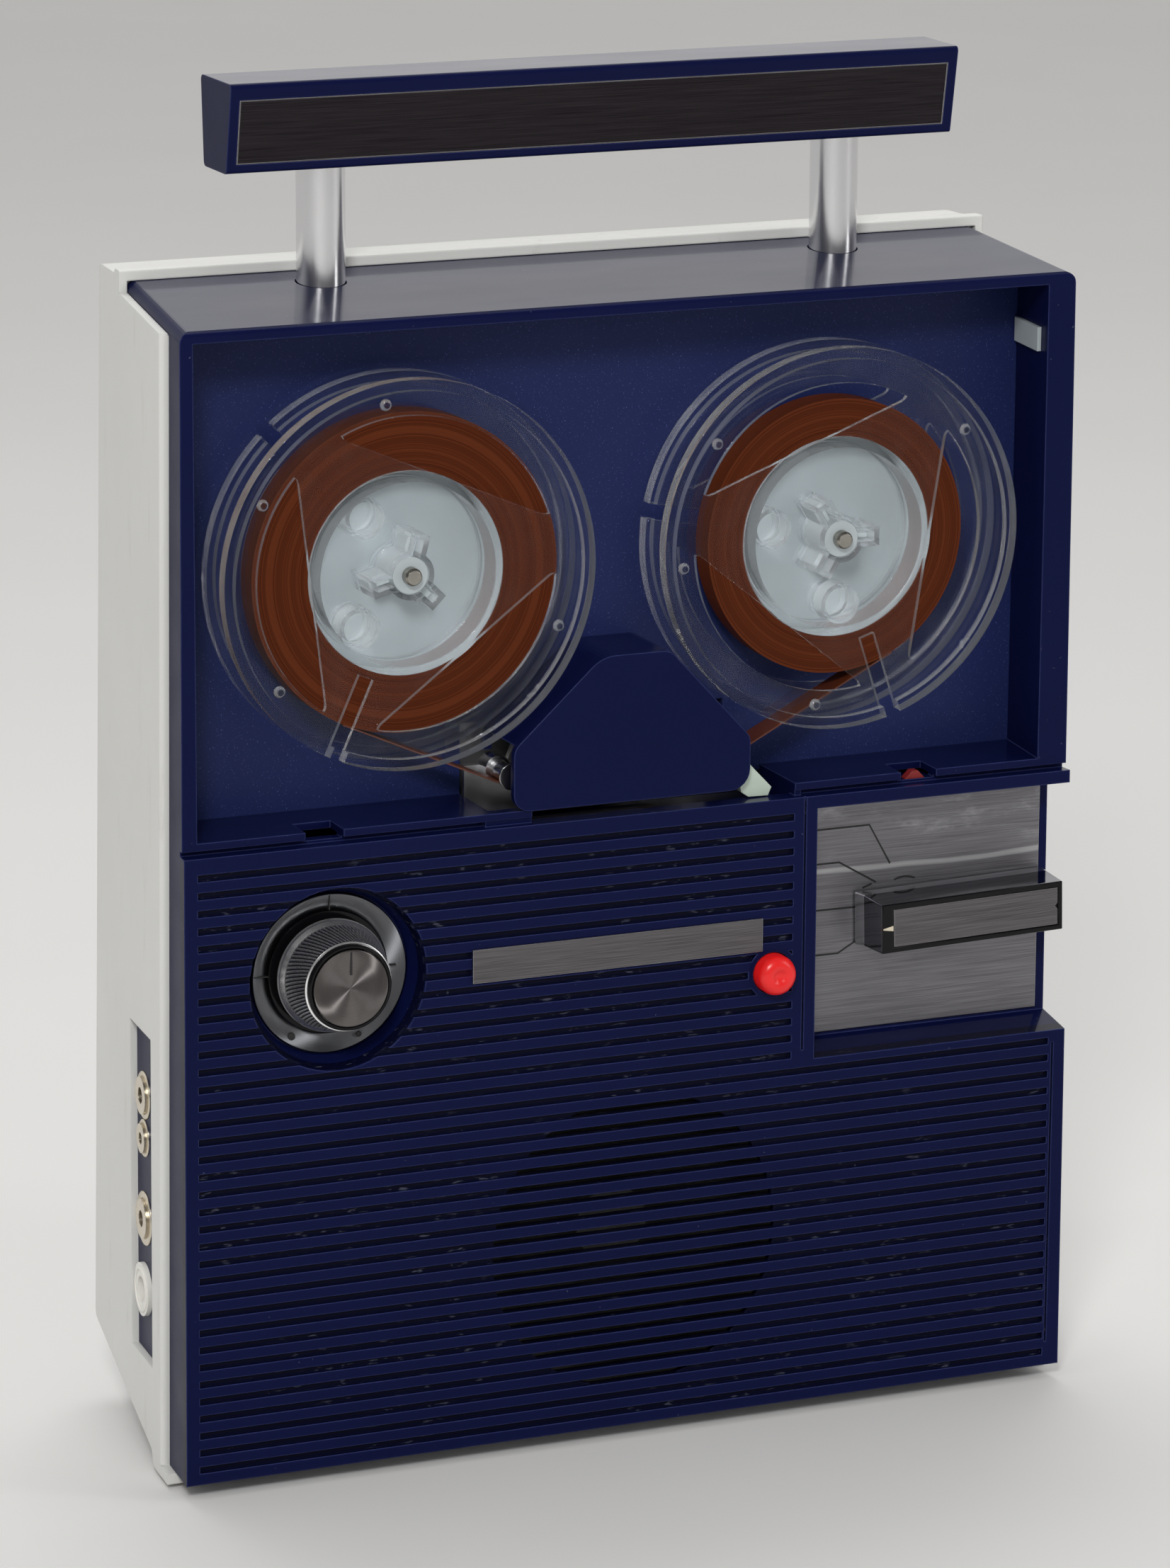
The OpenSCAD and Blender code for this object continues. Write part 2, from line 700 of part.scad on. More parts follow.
// Front moulding
module top_edge_cut()
  both_sides()
    translate([half_width_at(0, 0, top_z(0)), 0, top_z(0)]) rotate([top_slope - 90, 0, plan_taper])
      translate([0, 0, -reach]) round_edge(top_edge_r, top_back_y + 2 * reach);
module front_block() {
  intersection() {
    front_plan(0, -over, top_back_y);
    along_x(-case_w, case_w) polygon([
      [0, front_bottom_z],
      [0, panel_top_z],
      [sill_groove_y, panel_top_z],
      [sill_groove_y, sill_low_z],
      [bezel_y, sill_low_z],
      [bezel_y, front_top_z - 1],
      [bezel_y + 0.3, front_top_z - 0.3],
      [bezel_y + 1, top_z(bezel_y + 1)],
      part_end,
      [part_y(front_bottom_z), front_bottom_z]
    ]);
  }
}
module front_top() {
  intersection() {
    front_plan(0, bezel_y, top_back_y);
    along_x(-case_w, case_w) polygon([
      [bezel_y + 1, top_z(bezel_y + 1)],
      [top_back_y, top_z(top_back_y)],
      [top_back_y, top_z(top_back_y) - skirt_wall],
      [bezel_y + 1, front_top_z - skirt_wall]
    ]);
  }
}
module front_tongue() {
  zb = front_bottom_z + skirt_wall;
  intersection() {
    difference() {
      front_plan(tongue_in, 0, deck_y);
      front_plan(0.2 - skirt_wall, -over, deck_y + over);
    }
    along_x(-case_w, case_w) polygon([
      [part_y(zb) - over, zb],
      [part_y(sill_low_z) - over, sill_low_z],
      [part_y(sill_low_z) + tongue_l, sill_low_z],
      [part_y(zb) + tongue_l, zb]
    ]);
  }
}
module well_block() {
  intersection() {
    front_plan(well_out, 0, deck_y + over);
    block([-case_w, case_w], [bezel_y + 0.5, deck_y], [sill_low_z, front_top_z - 0.2]);
  }
}
function well_wall_x(y) = well_right_x + well_right_draft * (y - bezel_y) / (deck_y - bezel_y);
module well_space() {
  along_y_points = [
    [-well_left_x, -over],
    [well_wall_x(-over), -over],
    [well_wall_x(deck_y + over / 4), deck_y + over / 4],
    [-well_left_x, deck_y + over / 4]
  ];
  translate([0, 0, sill_z]) linear_extrude(well_top_z - sill_z) polygon(along_y_points);
}
module lower_space() {
  intersection() {
    front_plan(-skirt_wall, 0, deck_y + 2 * over);
    along_x(-case_w, case_w) polygon([
      [front_wall, front_bottom_z + skirt_wall],
      [front_wall, panel_top_z - 5.2],
      [sill_groove_y + front_wall, panel_top_z - 2.2],
      [sill_groove_y + front_wall, sill_low_z],
      [deck_y + over, sill_low_z],
      [deck_y + over, front_bottom_z + skirt_wall]
    ]);
  }
}
module groove_rows(y1) {
  for (i = [0:rib_count - 1]) {
    z1 = panel_top_z - rib_top_margin - i * rib_pitch - rib_flat;
    z0 = z1 + rib_flat - rib_pitch;
    beside_selector = z1 > selector_low_z - rib_pitch;
    x1 = beside_selector ? selector_left_x - 5.5 : half_width_at(0, 0, z0) - rib_side_margin - 1;
    block([-half_width_at(0, 0, z0) + rib_side_margin, x1], [-over, y1], [z0, z1]);
  }
}
module rib_grooves() {
  difference() {
    groove_rows(rib_depth);
    block([plate_left_x, plate_right_x], [-2 * over, rib_depth + over], [plate_z, plate_z + plate_h]);
    rod_y(button_x, button_z, -2 * over, rib_depth + over, button_r + 1.4);
  }
  intersection() {
    groove_rows(front_wall + over);
    rod_y(0, speaker_z, -2 * over, front_wall + 2 * over, speaker_r - 5.5);
  }
  block([selector_left_x - 3.1, selector_left_x - 2.6], [-over, 0.5], [selector_low_z, panel_top_z + over]);
  block([half_width_at(0, 0, 40) - 3.4, half_width_at(0, 0, 40) - 2.9], [-over, 0.5], [9, selector_low_z - 5]);
}
module selector_box() {
  intersection() {
    front_plan(tongue_in + 0.2, -over, deck_y);
    along_x(selector_left_x - 2.3, case_w) polygon([
      [0.2, selector_low_z - selector_floor_y * tan(ledge_slope) - 2.2],
      [0.2, panel_top_z - 0.2],
      [sill_groove_y, panel_top_z],
      [recess_back_y, panel_top_z],
      [recess_back_y, selector_low_z - 1.6]
    ]);
  }
}
module selector_space() {
  along_x(selector_left_x, case_w) polygon([
    [-over, selector_low_z - (selector_floor_y + over) * tan(ledge_slope)],
    [-over, selector_high_z],
    [selector_floor_y, selector_high_z],
    [selector_floor_y, selector_low_z]
  ]);
}
module screw_boss(x, z, y0, y1) {
  difference() {
    rod_y(x, z, y0, y1, screw_column_r);
    rod_y(x, z, y1 - screw_l, y1 + over, screw_r);
  }
}
module front_case() color("midnightblue") from_front() {
  difference() {
    union() {
      difference() {
        union() {
          front_block();
          well_block();
        }
        lower_space();
        well_space();
      }
      front_top();
      front_tongue();
      selector_box();
      cone_y(volume_x, volume_z, 0.2, volume_floor_y, volume_recess_r + 2, volume_recess_r);
      block([pocket_left_x - 1.5, pocket_right_x + 1.5], [front_wall - 0.5, deck_y], [pocket_z - 1.5, sill_low_z + 0.5]);
      difference() {
        rod_y(0, speaker_z, front_wall - 0.5, front_wall + 3, speaker_r + 1.9);
        rod_y(0, speaker_z, front_wall - over, front_wall + 3 + over, speaker_r + 0.4);
        block([-case_w, case_w], [0, front_wall + 4 * over], [-reach, front_bottom_z + 0.5]);
      }
      both_sides() screw_boss(low_screw_x, low_screw_z, front_wall - 0.5, low_boss_y);
      for (x = [-40, 14]) screw_boss(x, 104, front_wall - 0.5, chassis_y);
      both_sides() intersection() {
        translate([post_span / 2, post_y, sleeve_boss_z]) cylinder(h = reach, r = sleeve_boss_r);
        along_x(0, case_w) polygon([[0, 0], [0, top_z(0) - 1], [60, top_z(60) - 1], [60, 0]]);
      }
      both_sides() difference() {
        intersection() {
          block(
            [high_screw_x - screw_column_r, high_screw_x + screw_column_r],
            [high_boss_y - 14, high_boss_y], [high_screw_z - 5, front_top_z + reach]);
          along_x(0, case_w) polygon([[0, 0], [0, top_z(0) - 1], [60, top_z(60) - 1], [60, 0]]);
        }
        rod_y(high_screw_x, high_screw_z, high_boss_y - screw_l, high_boss_y + over, screw_r);
      }
    }
    rib_grooves();
    selector_space();
    rod_y(selector_x, selector_z, 0, deck_y, selector_shaft_r + 0.4);
    cone_y(volume_x, volume_z, -over, volume_low_y, volume_mouth_r, dial_r + 0.4);
    rod_y(volume_x, volume_z, volume_low_y - over, volume_recess_y, dial_r + 0.4);
    rod_y(volume_x, volume_z, 0, deck_y, volume_shaft_r + 1.6);
    rod_y(button_x, button_z, -over, front_wall + over, button_r + 0.25);
    block([pocket_left_x, pocket_right_x], [sill_groove_y + 1.3, deck_y + over], [pocket_z, sill_z + over]);
    block([gap_left_x, pocket_right_x], [-over, deck_y], [panel_top_z, sill_z + over]);
    for (x = notch_xs) block([x, x + notch_w], [-over, notch_back_y], [notch_z, sill_z + over]);
    both_sides()
      translate([post_span / 2, post_y, sleeve_boss_z - over]) cylinder(h = 2 * reach, r = post_d / 2 + 0.3);
    top_edge_cut();
  }
}

// Back moulding
module shell_column(x, z, y0) {
  rod_y(x, z, y0, back_y(z) - 0.5, screw_column_r);
}
module back_shell() color("lightgray") from_front() {
  difference() {
    union() {
      difference() {
        intersection() {
          shell_plan(0);
          along_x(-case_w, case_w) polygon(shell_outline);
        }
        intersection() {
          shell_plan(shell_wall);
          along_x(-case_w, case_w) polygon(rounded([
            [-over, shell_floor_z],
            [land_back_y - 0.6, shell_floor_z],
            [slope_y - 0.6, slope_z + slope_wall],
            [back_corner.x - shell_wall, slope_at(back_corner.x - shell_wall) + slope_wall],
            [back_y(shell_top_z) - shell_wall, shell_top_z - shell_wall],
            [top_back_y + seam_gap, shell_top_z - shell_wall],
            [top_back_y + seam_gap, top_z(top_back_y) - skirt_wall - 2 * seam_gap],
            [-over, top_z(-over) - skirt_wall - 2 * seam_gap]
          ], [0, 0, 0, back_bottom_r - shell_wall, back_top_r - shell_wall, 0, 0, 0]));
        }
        intersection() {
          front_plan(seam_gap, -over, top_back_y + seam_gap);
          along_x(-case_w, case_w) polygon([
            [-over, top_z(-over) - skirt_wall - 3 * seam_gap],
            [top_back_y + seam_gap, top_z(top_back_y) - skirt_wall - 3 * seam_gap],
            [top_back_y + seam_gap, top_z(top_back_y) + seam_gap],
            [lip_front_y - over, top_z(lip_front_y - over) + seam_gap],
            [-over, top_z(-over) + over]
          ]);
        }
      }
      both_sides() {
        shell_column(low_screw_x, low_screw_z, low_boss_y + seam_gap);
        shell_column(high_screw_x, high_screw_z, high_boss_y + seam_gap);
      }
      for (x = board_xs) for (z = board_zs) rod_y(x, z, board_y + board_t, back_y(z) - 0.5, 3);
    }
    both_sides() {
      rod_y(low_screw_x, low_screw_z, low_boss_y + 3, back_y(low_screw_z) + over, screw_head_r + 0.4);
      rod_y(low_screw_x, low_screw_z, low_boss_y - over, low_boss_y + 4, screw_r + 0.3);
      rod_y(high_screw_x, high_screw_z, high_boss_y + 3, back_y(high_screw_z) + over, screw_head_r + 0.4);
      rod_y(high_screw_x, high_screw_z, high_boss_y - over, high_boss_y + 4, screw_r + 0.3);
    }
    both_sides()
      translate([half_width_at(rim_proud, part_y(0), 0), part_y(0) + seam_gap, 0])
        rotate([atan(part_lean), -atan(tan(side_lean) - part_lean * tan(plan_taper)), 0])
          translate([0, 0, front_bottom_z]) round_edge(rim_edge_r, front_top_z + reach);
    on_left(jack_y, jack_z)
      block([-over, shell_wall + over], [-jack_opening_w / 2, jack_opening_w / 2], [-jack_opening_h / 2, jack_opening_h / 2]);
    on_back() {
      block(
        [-door_w / 2 - door_clear, door_w / 2 + door_clear], [-shell_wall - over, over],
        [door_low - door_clear, door_low + door_h - hinge_r]);
      translate([-door_w / 2 - door_clear, -hinge_r, door_low + door_h - hinge_r]) rotate([0, 90, 0])
        cylinder(h = door_w + 2 * door_clear, r = hinge_r + door_clear);
      block(
        [-door_w / 2 - door_clear, door_w / 2 + door_clear], [-hinge_r, over],
        [door_low + door_h - hinge_r - over, door_low + door_h + door_clear]);
      translate([-door_w / 2 - hinge_pin_l - 0.3, -hinge_r, door_low + door_h - hinge_r]) rotate([0, 90, 0])
        cylinder(h = door_w + 2 * hinge_pin_l + 0.6, r = hinge_pin_r + 0.05);
    }
  }
}
module deck_plate() color("midnightblue") from_front() {
  difference() {
    block([-well_left_x - 0.3, well_wall_x(deck_y) + 1.6], [deck_y, deck_back_y], [sill_low_z + 0.3, deck_top_z]);
    for (x = [reel_x(true), reel_x(false)]) rod_y(x, reel_z, 0, 2 * deck_y, turntable_hub_r + 1);
    block([pocket_left_x, 28], [0, 2 * deck_y], [0, 158]);
  }
}
module chassis_plate() color("silver") from_front() {
  difference() {
    union() {
      block([-well_left_x + 8.7, well_right_x - 7.1], [chassis_y, chassis_back_y], [98, 222]);
      for (x = [-well_left_x + 14.7, 0, well_right_x - 13.1]) for (z = [162, 216]) rod_y(x, z, deck_back_y, chassis_y + 0.2, 4);
    }
    for (x = [reel_x(true), reel_x(false)]) rod_y(x, reel_z, 0, 2 * deck_y, bush_r);
    rod_y(capstan_x, capstan_z, 0, 2 * deck_y, bush_r);
    for (x = [-40, 14]) rod_y(x, 104, 0, 2 * deck_y, screw_r + 0.2);
  }
}
module case_screw(x, z, y) {
  rod_y(x, z, y - screw_l + 4, y + 3.1, screw_r);
  difference() {
    rod_y(x, z, y + 3, y + 5.2, screw_head_r);
    block([x - screw_head_r, x + screw_head_r], [y + 4.2, y + 6], [z - 0.4, z + 0.4]);
    block([x - 0.4, x + 0.4], [y + 4.2, y + 6], [z - screw_head_r, z + screw_head_r]);
  }
}
module case_screws() color("gray") from_front() both_sides() {
  case_screw(low_screw_x, low_screw_z, low_boss_y);
  case_screw(high_screw_x, high_screw_z, high_boss_y);
}
module feet() color("dimgray") from_front() both_sides() {
  translate([pad_x, (land_front_y + land_back_y) / 2, 0]) cylinder(h = land_z, r = pad_r);
  difference() {
    translate([foot_x, foot_y, 0]) cylinder(h = slope_at(foot_y + foot_r) + over, r1 = foot_r - 1, r2 = foot_r);
    along_x(0, case_w) polygon([
      [foot_y - 2 * foot_r, slope_at(foot_y - 2 * foot_r)],
      [foot_y + 2 * foot_r, slope_at(foot_y + 2 * foot_r)],
      [foot_y + 2 * foot_r, 3 * reach],
      [foot_y - 2 * foot_r, 3 * reach]
    ]);
  }
}

// Batteries
module battery_tray() color("darkslategray") from_front() on_back() {
  difference() {
    union() {
      block([-door_w / 2 - 4, door_w / 2 + 4], [-tray_y - tray_wall, -tray_y], [door_low - 3, door_low + door_h + 3]);
      block(
        [-tray_half_w - tray_wall, tray_half_w + tray_wall], [-tray_back_y - tray_wall, -tray_y],
        [tray_low - tray_wall, tray_high + tray_wall]);
    }
    block([-tray_half_w, tray_half_w], [-tray_back_y, over], [tray_low, tray_high]);
    block([-door_w / 2 - 0.2, door_w / 2 + 0.2], [-tray_y - 0.6, over], [door_low + door_h - 3, door_low + door_h + 1]);
  }
}
module battery_contacts() color("silver") from_front() on_back() {
  for (z = cell_rows) for (s = [-1, 1]) {
    translate([s * (tray_half_w - 0.25), -cell_y, z]) cube([0.5, cell_d - 4, cell_d - 4], center = true);
    translate([s * (tray_half_w - 0.4), -cell_y, z]) rotate([0, -90 * s, 0])
      cylinder(h = tray_half_w - cell_l - (s < 0 ? 1 : 2.2), r1 = 4.5, r2 = 3);
  }
}
module battery_cells() color("goldenrod") from_front() on_back() {
  for (z = cell_rows) for (s = [-1, 1]) {
    x0 = s < 0 ? -cell_l - 0.3 : 1.6;
    translate([x0, -cell_y, z]) rotate([0, 90, 0]) cylinder(h = cell_l - 1.6, r = cell_d / 2);
    translate([x0 + cell_l - 1.7, -cell_y, z]) rotate([0, 90, 0]) cylinder(h = 1.6, r = 3.2);
  }
}
module battery_door() color("lightgray") from_front() on_back() {
  z1 = door_low + door_h - hinge_r;
  block([-door_w / 2, door_w / 2], [-door_t, 0], [door_low, z1]);
  translate([-door_w / 2, -hinge_r, z1]) rotate([0, 90, 0]) cylinder(h = door_w, r = hinge_r);
  translate([-door_w / 2 - hinge_pin_l, -hinge_r, z1]) rotate([0, 90, 0])
    cylinder(h = door_w + 2 * hinge_pin_l, r = hinge_pin_r);
}

// Handle
module handle_grip() color("midnightblue") from_front() {
  difference() {
    along_x(-grip_w / 2, grip_w / 2) polygon(rounded([
      [grip_low_front_y, grip_low_z],
      [grip_top_front_y, grip_top_z],
      [grip_top_back_y, grip_top_z],
      [grip_low_back_y, grip_low_z]
    ], [0.8, 1, 1.2, 1.2]));
    on_grip_face()
      block(
        [-grip_w / 2 + grip_inlay_margin, grip_w / 2 - grip_inlay_margin], [-over, grip_inlay_t],
        [grip_inlay_rise, grip_inlay_rise + grip_inlay_h]);
    both_sides()
      translate([post_span / 2, post_y, grip_low_z - over]) cylinder(h = post_in_grip + over, r = post_d / 2);
  }
}
module handle_inlay() color("dimgray") from_front() on_grip_face()
  block(
    [-grip_w / 2 + grip_inlay_margin + 0.05, grip_w / 2 - grip_inlay_margin - 0.05], [0.05, grip_inlay_t],
    [grip_inlay_rise + 0.05, grip_inlay_rise + grip_inlay_h - 0.05]);
module handle_posts() color("silver") from_front() both_sides() {
  z0 = sleeve_low_z - post_foot_gap - post_foot_t;
  translate([post_span / 2, post_y, z0]) {
    difference() {
      union() {
        cylinder(h = grip_low_z + post_in_grip - z0, r = post_d / 2);
        cylinder(h = post_foot_t, r = post_foot_r);
      }
      translate([0, 0, -over]) cylinder(h = grip_low_z + post_in_grip - z0 - 1, r = post_d / 2 - 1);
    }
  }
}
module post_sleeves() color("gray") from_front() both_sides() {
  difference() {
    translate([post_span / 2, post_y, 0]) {
      translate([0, 0, sleeve_low_z]) cylinder(h = sleeve_boss_z - sleeve_low_z, r = post_d / 2 + 1.8);
      translate([0, 0, sleeve_boss_z - sleeve_flange_t]) cylinder(h = sleeve_flange_t, r = sleeve_boss_r);
    }
    translate([post_span / 2, post_y, sleeve_low_z - over])
      cylinder(h = sleeve_boss_z - sleeve_low_z + 2 * over, r = post_d / 2 + post_clear);
  }
}

// Reels and turntables; the flat shapes here lie in X and Z about the reel's middle
module spoke_shape(a, r, w) {
  for (i = [0:2]) rotate(a + 120 * i) translate([0, -w / 2]) square([r, w]);
}
module window_shape(a) {
  half = sqrt(window_far * window_far - window_near * window_near);
  rotate(a) intersection() {
    circle(r = window_far);
    polygon(rounded([
      [window_near, -half], [window_far + window_corner_r, -half],
      [window_far + window_corner_r, half], [window_near, half]
    ], [window_corner_r, 0, 0, window_corner_r]));
  }
}
module slot_shape(a) {
  rotate(a) translate([hub_r + 1.5, -slot_w / 2]) square([reel_d / 2, slot_w]);
}
module flange_shape(window_a, slot_a) {
  difference() {
    circle(r = reel_d / 2);
    circle(r = hub_in_r);
    for (i = [0:2]) window_shape(window_a + 120 * i);
    slot_shape(slot_a);
  }
}
module reel(x, window_a, slots_a, splines_a, pegs_a) {
  translate([x, 0, reel_z]) {
    along_y(flange_front_y, flange_front_y + flange_t) flange_shape(window_a, slots_a[0]);
    along_y(flange_back_y - flange_t, flange_back_y) flange_shape(window_a, slots_a[1]);
    for (side = [0, 1])
      along_y(side == 0 ? reel_front_y : flange_back_y - 0.5, side == 0 ? flange_front_y + 0.5 : reel_back_y)
        difference() {
          circle(r = reel_d / 2);
          circle(r = reel_d / 2 - rim_w);
          slot_shape(slots_a[side]);
        }
    along_y(flange_front_y, flange_back_y) difference() {
      circle(r = hub_r);
      circle(r = hub_in_r);
    }
    along_y(web_y, web_y + web_t) difference() {
      circle(r = hub_in_r + 0.2);
      circle(r = reel_bore_r + 0.1);
      spoke_shape(splines_a, spline_r + spline_clear, spline_w + 2 * spline_clear);
      for (a = pegs_a) rotate(a) translate([peg_hole_at, 0]) circle(r = peg_hole_r);
    }
    along_y(boss_front_y, flange_back_y - 0.1) difference() {
      union() {
        circle(r = reel_bore_r + boss_wall);
        spoke_shape(splines_a, spline_r + spline_clear + boss_wall, spline_w + 2 * spline_clear + 2 * boss_wall);
      }
      circle(r = reel_bore_r);
      spoke_shape(splines_a, spline_r + spline_clear, spline_w + 2 * spline_clear);
    }
    for (a = pegs_a)
      along_y(web_y - 4.5, flange_back_y - 0.4) rotate(a) translate([peg_hole_at, 0]) difference() {
        circle(r = peg_hole_r + peg_wall);
        circle(r = peg_hole_r);
      }
  }
}
module left_reel() color("lightcyan") from_front()
  reel(reel_x(false), left_window_a, left_slots_a, left_splines_a, left_pegs_a);
module right_reel() color("lightcyan") from_front()
  reel(reel_x(true), right_window_a, right_slots_a, right_splines_a, right_pegs_a);
module tape_pack(right) {
  translate([reel_x(right), 0, reel_z]) along_y(tape_front_y, tape_back_y) difference() {
    circle(r = pack_r(right));
    circle(r = hub_r + 0.05);
  }
}
module left_tape_pack() color("saddlebrown") from_front() tape_pack(false);
module right_tape_pack() color("saddlebrown") from_front() tape_pack(true);
module turntable(x, splines_a) {
  difference() {
    union() {
      rod_y(x, reel_z, turntable_y, turntable_back_y, turntable_r);
      rod_y(x, reel_z, turntable_back_y - 0.2, bush_front_y - 0.3, turntable_hub_r);
      rod_y(x, reel_z, post_tip_y, turntable_y + 0.2, drive_post_r);
      translate([x, 0, reel_z]) along_y(post_tip_y + 3, turntable_y + 0.2) spoke_shape(splines_a, spline_r, spline_w);
    }
    rod_y(x, reel_z, 0, deck_y, pin_r);
  }
}
module left_turntable() color("lightsteelblue") from_front() turntable(reel_x(false), left_splines_a);
module right_turntable() color("lightsteelblue") from_front() turntable(reel_x(true), right_splines_a);
module spindle(x, back) {
  rod_y(x, reel_z, pin_front_y + 0.5, back, pin_r);
  cone_y(x, reel_z, pin_front_y, pin_front_y + 0.5, pin_r - 0.4, pin_r);
}
module left_spindle() color("gray") from_front() {
  spindle(reel_x(false), bush_back_y + 2.4);
  rod_y(reel_x(false), reel_z, bush_back_y + 0.3, bush_back_y + 1.5, pin_r + 2);
}
module right_spindle() color("gray") from_front() spindle(reel_x(true), takeup_y + belt_w + 2 * pulley_flange_t);
module bearing_bush(x, z, r, front, back) {
  difference() {
    union() {
      rod_y(x, z, front, back, bush_r);
      rod_y(x, z, chassis_y - 1.2, chassis_y, bush_flange_r);
    }
    rod_y(x, z, front - over, back + over, r + shaft_clear);
  }
}
module bearing_bushes() color("goldenrod") from_front() {
  for (right = [true, false]) bearing_bush(reel_x(right), reel_z, pin_r, bush_front_y, bush_back_y);
  bearing_bush(capstan_x, capstan_z, capstan_r, bracket_y + bracket_t + 0.3, flywheel_y - 0.3);
}

// Tape between the reels, as a flat outline in X and Z
left_c = [-reel_left_x, reel_z];
guide_left_c = [guide_left_x, guide_z];
guide_right_c = [guide_right_x, guide_z];
tape_gap = 0.03;
function below(c1, r1, c2, r2) = tangent_dir(c1, r1, c2, r2, -1);
function part_arc(c, r, a0, a1) = [for (i = [0:arc_steps]) on_circle(c, r, a0 + (a1 - a0) * i / arc_steps)];
// The tape's path from pack to pack under both guides, d away from what it runs on
function tape_path(d) =
  let (a_left = below(left_c, pack_left_r, guide_left_c, guide_r))
  let (a_right = below(guide_right_c, guide_r, right_c, pack_right_r))
  concat(
    [on_circle(left_c, pack_left_r + d, a_left)],
    part_arc(guide_left_c, guide_r + d, a_left, -90),
    part_arc(guide_right_c, guide_r + d, -90, a_right),
    [on_circle(right_c, pack_right_r + d, a_right)]);
function backwards(list) = [for (i = [len(list) - 1:-1:0]) list[i]];
module tape_run() color("saddlebrown") from_front()
  along_y(tape_front_y, tape_back_y)
    polygon(concat(tape_path(tape_gap), backwards(tape_path(tape_gap + tape_t))));

// Heads
module head_cover() color("midnightblue") from_front() {
  difference() {
    along_y(cover_front_y, deck_y - 0.1) polygon(rounded(cover_points, [3.5, 4.5, 3, 4, 8, 4]));
    along_y(cover_front_y + cover_wall, deck_y + over)
      polygon(rounded(inset(cover_points, cover_wall), [1.7, 2.7, 1.2, 2.2, 6.2, 2.2]));
    block(
      [cover_left_x + cover_wall, cover_right_x - cover_wall], [cover_front_y + cover_wall, deck_y + over],
      [0, cover_bottom_z + 2 * cover_wall]);
    block([cover_left_x - over, cover_right_x + over], [cover_front_y + cover_wall, deck_y - 2], [0, slot_top_z]);
    block([cover_left_x - over, 0], [cover_front_y + cover_wall, deck_y + over], [0, guide_z + guide_r + 1.4]);
  }
}
module head_bracket() color("darkgray") from_front() {
  difference() {
    union() {
      along_y(bracket_y, bracket_y + bracket_t) polygon([
        [-32.6, pocket_z + 0.5], [8, pocket_z + 0.5], [8, pocket_z + 5], [23, pocket_z + 5], [23, 154],
        [6, 168], [-8, 168], [-19, 158], [-23, 149], [-32.6, 149]
      ]);
      rod_y(pinch_x, pinch_z, pinch_arm_y + 0.1, bracket_y + 0.2, pinch_stud_r);
    }
    rod_y(capstan_x, capstan_z, 0, 2 * deck_y, capstan_r + 0.8);
  }
}
module tape_guides() color("silver") from_front() {
  for (x = [guide_left_x, guide_right_x]) {
    rod_y(x, guide_z, guide_front_y, bracket_y, guide_r);
  }
  rod_y(guide_left_x, guide_z, guide_front_y, tape_front_y - 0.2, guide_r + 0.9);
  rod_y(guide_left_x, guide_z, tape_back_y + 0.2, bracket_y, guide_r + 0.9);
}
module tape_head(x0, x1, z1, face) {
  difference() {
    union() {
      block([x0, x1], [tape_front_y - 0.6, tape_back_y + 0.6], [tape_z + 2.2, z1]);
      intersection() {
        rod_y((x0 + x1) / 2, tape_z + face + 0.05, tape_front_y - 0.6, tape_back_y + 0.6, face);
        block([x0, x1], [0, deck_y], [tape_z, tape_z + 2.3]);
      }
      block([x0 + 1, x1 - 1], [tape_back_y, bracket_y], [tape_z + 3.5, z1 - 1]);
    }
    rod_y((x0 + x1) / 2, z1 - 3, 0, tape_front_y, 0.8);
  }
}
module record_play_head() color("silver") from_front() tape_head(-6, 4, 160, 9);
module erase_head() color("whitesmoke") from_front() tape_head(-19.5, -12.5, 157, 6);
module pressure_pads() color("ivory") from_front() {
  z1 = tape_z - tape_t - 0.08;
  for (x = [-16, -1]) {
    block([x - 2, x + 2], [tape_front_y, tape_back_y], [z1 - 1.8, z1]);
    block([x - 3.5, x + 3.5], [tape_front_y, bracket_y], [z1 - 2.2, z1 - 1.8]);
  }
}
module pinch_arm() color("lightsteelblue") from_front() {
  y1 = pinch_arm_y + pinch_arm_t;
  difference() {
    union() {
      rod_y(pinch_c.x, pinch_c.y, pinch_arm_y, pinch_arm_y + pinch_hub_l, pinch_hub_r);
      along_y(pinch_arm_y, y1) {
        translate(roller_c) circle(r = 2.6);
        polygon([
          roller_c + [0, 2.3], pinch_c + [0, 2.1], pinch_c + [0, -2.1], roller_c + [0, -2.3]
        ]);
        polygon([
          pinch_c + [-1.2, -1.5], pinch_c + [1.7, 1.2], [25.6, 149], [28.3, 146], [32.3, 141.8], [31.5, 140],
          [26.9, 140.1], [25.2, 141.3], [24.4, 145.5]
        ]);
      }
      rod_y(roller_c.x, roller_c.y, pinch_arm_y, tape_back_y + 0.6, pinch_pin_r);
    }
    rod_y(pinch_c.x, pinch_c.y, 0, deck_y, pinch_stud_r + shaft_clear);
  }
}
module pinch_roller() color("dimgray") from_front() {
  difference() {
    rod_y(roller_c.x, roller_c.y, pinch_arm_y + pinch_arm_t + 0.3, tape_back_y + 0.4, roller_r);
    rod_y(roller_c.x, roller_c.y, 0, deck_y, pinch_pin_r + shaft_clear);
  }
}

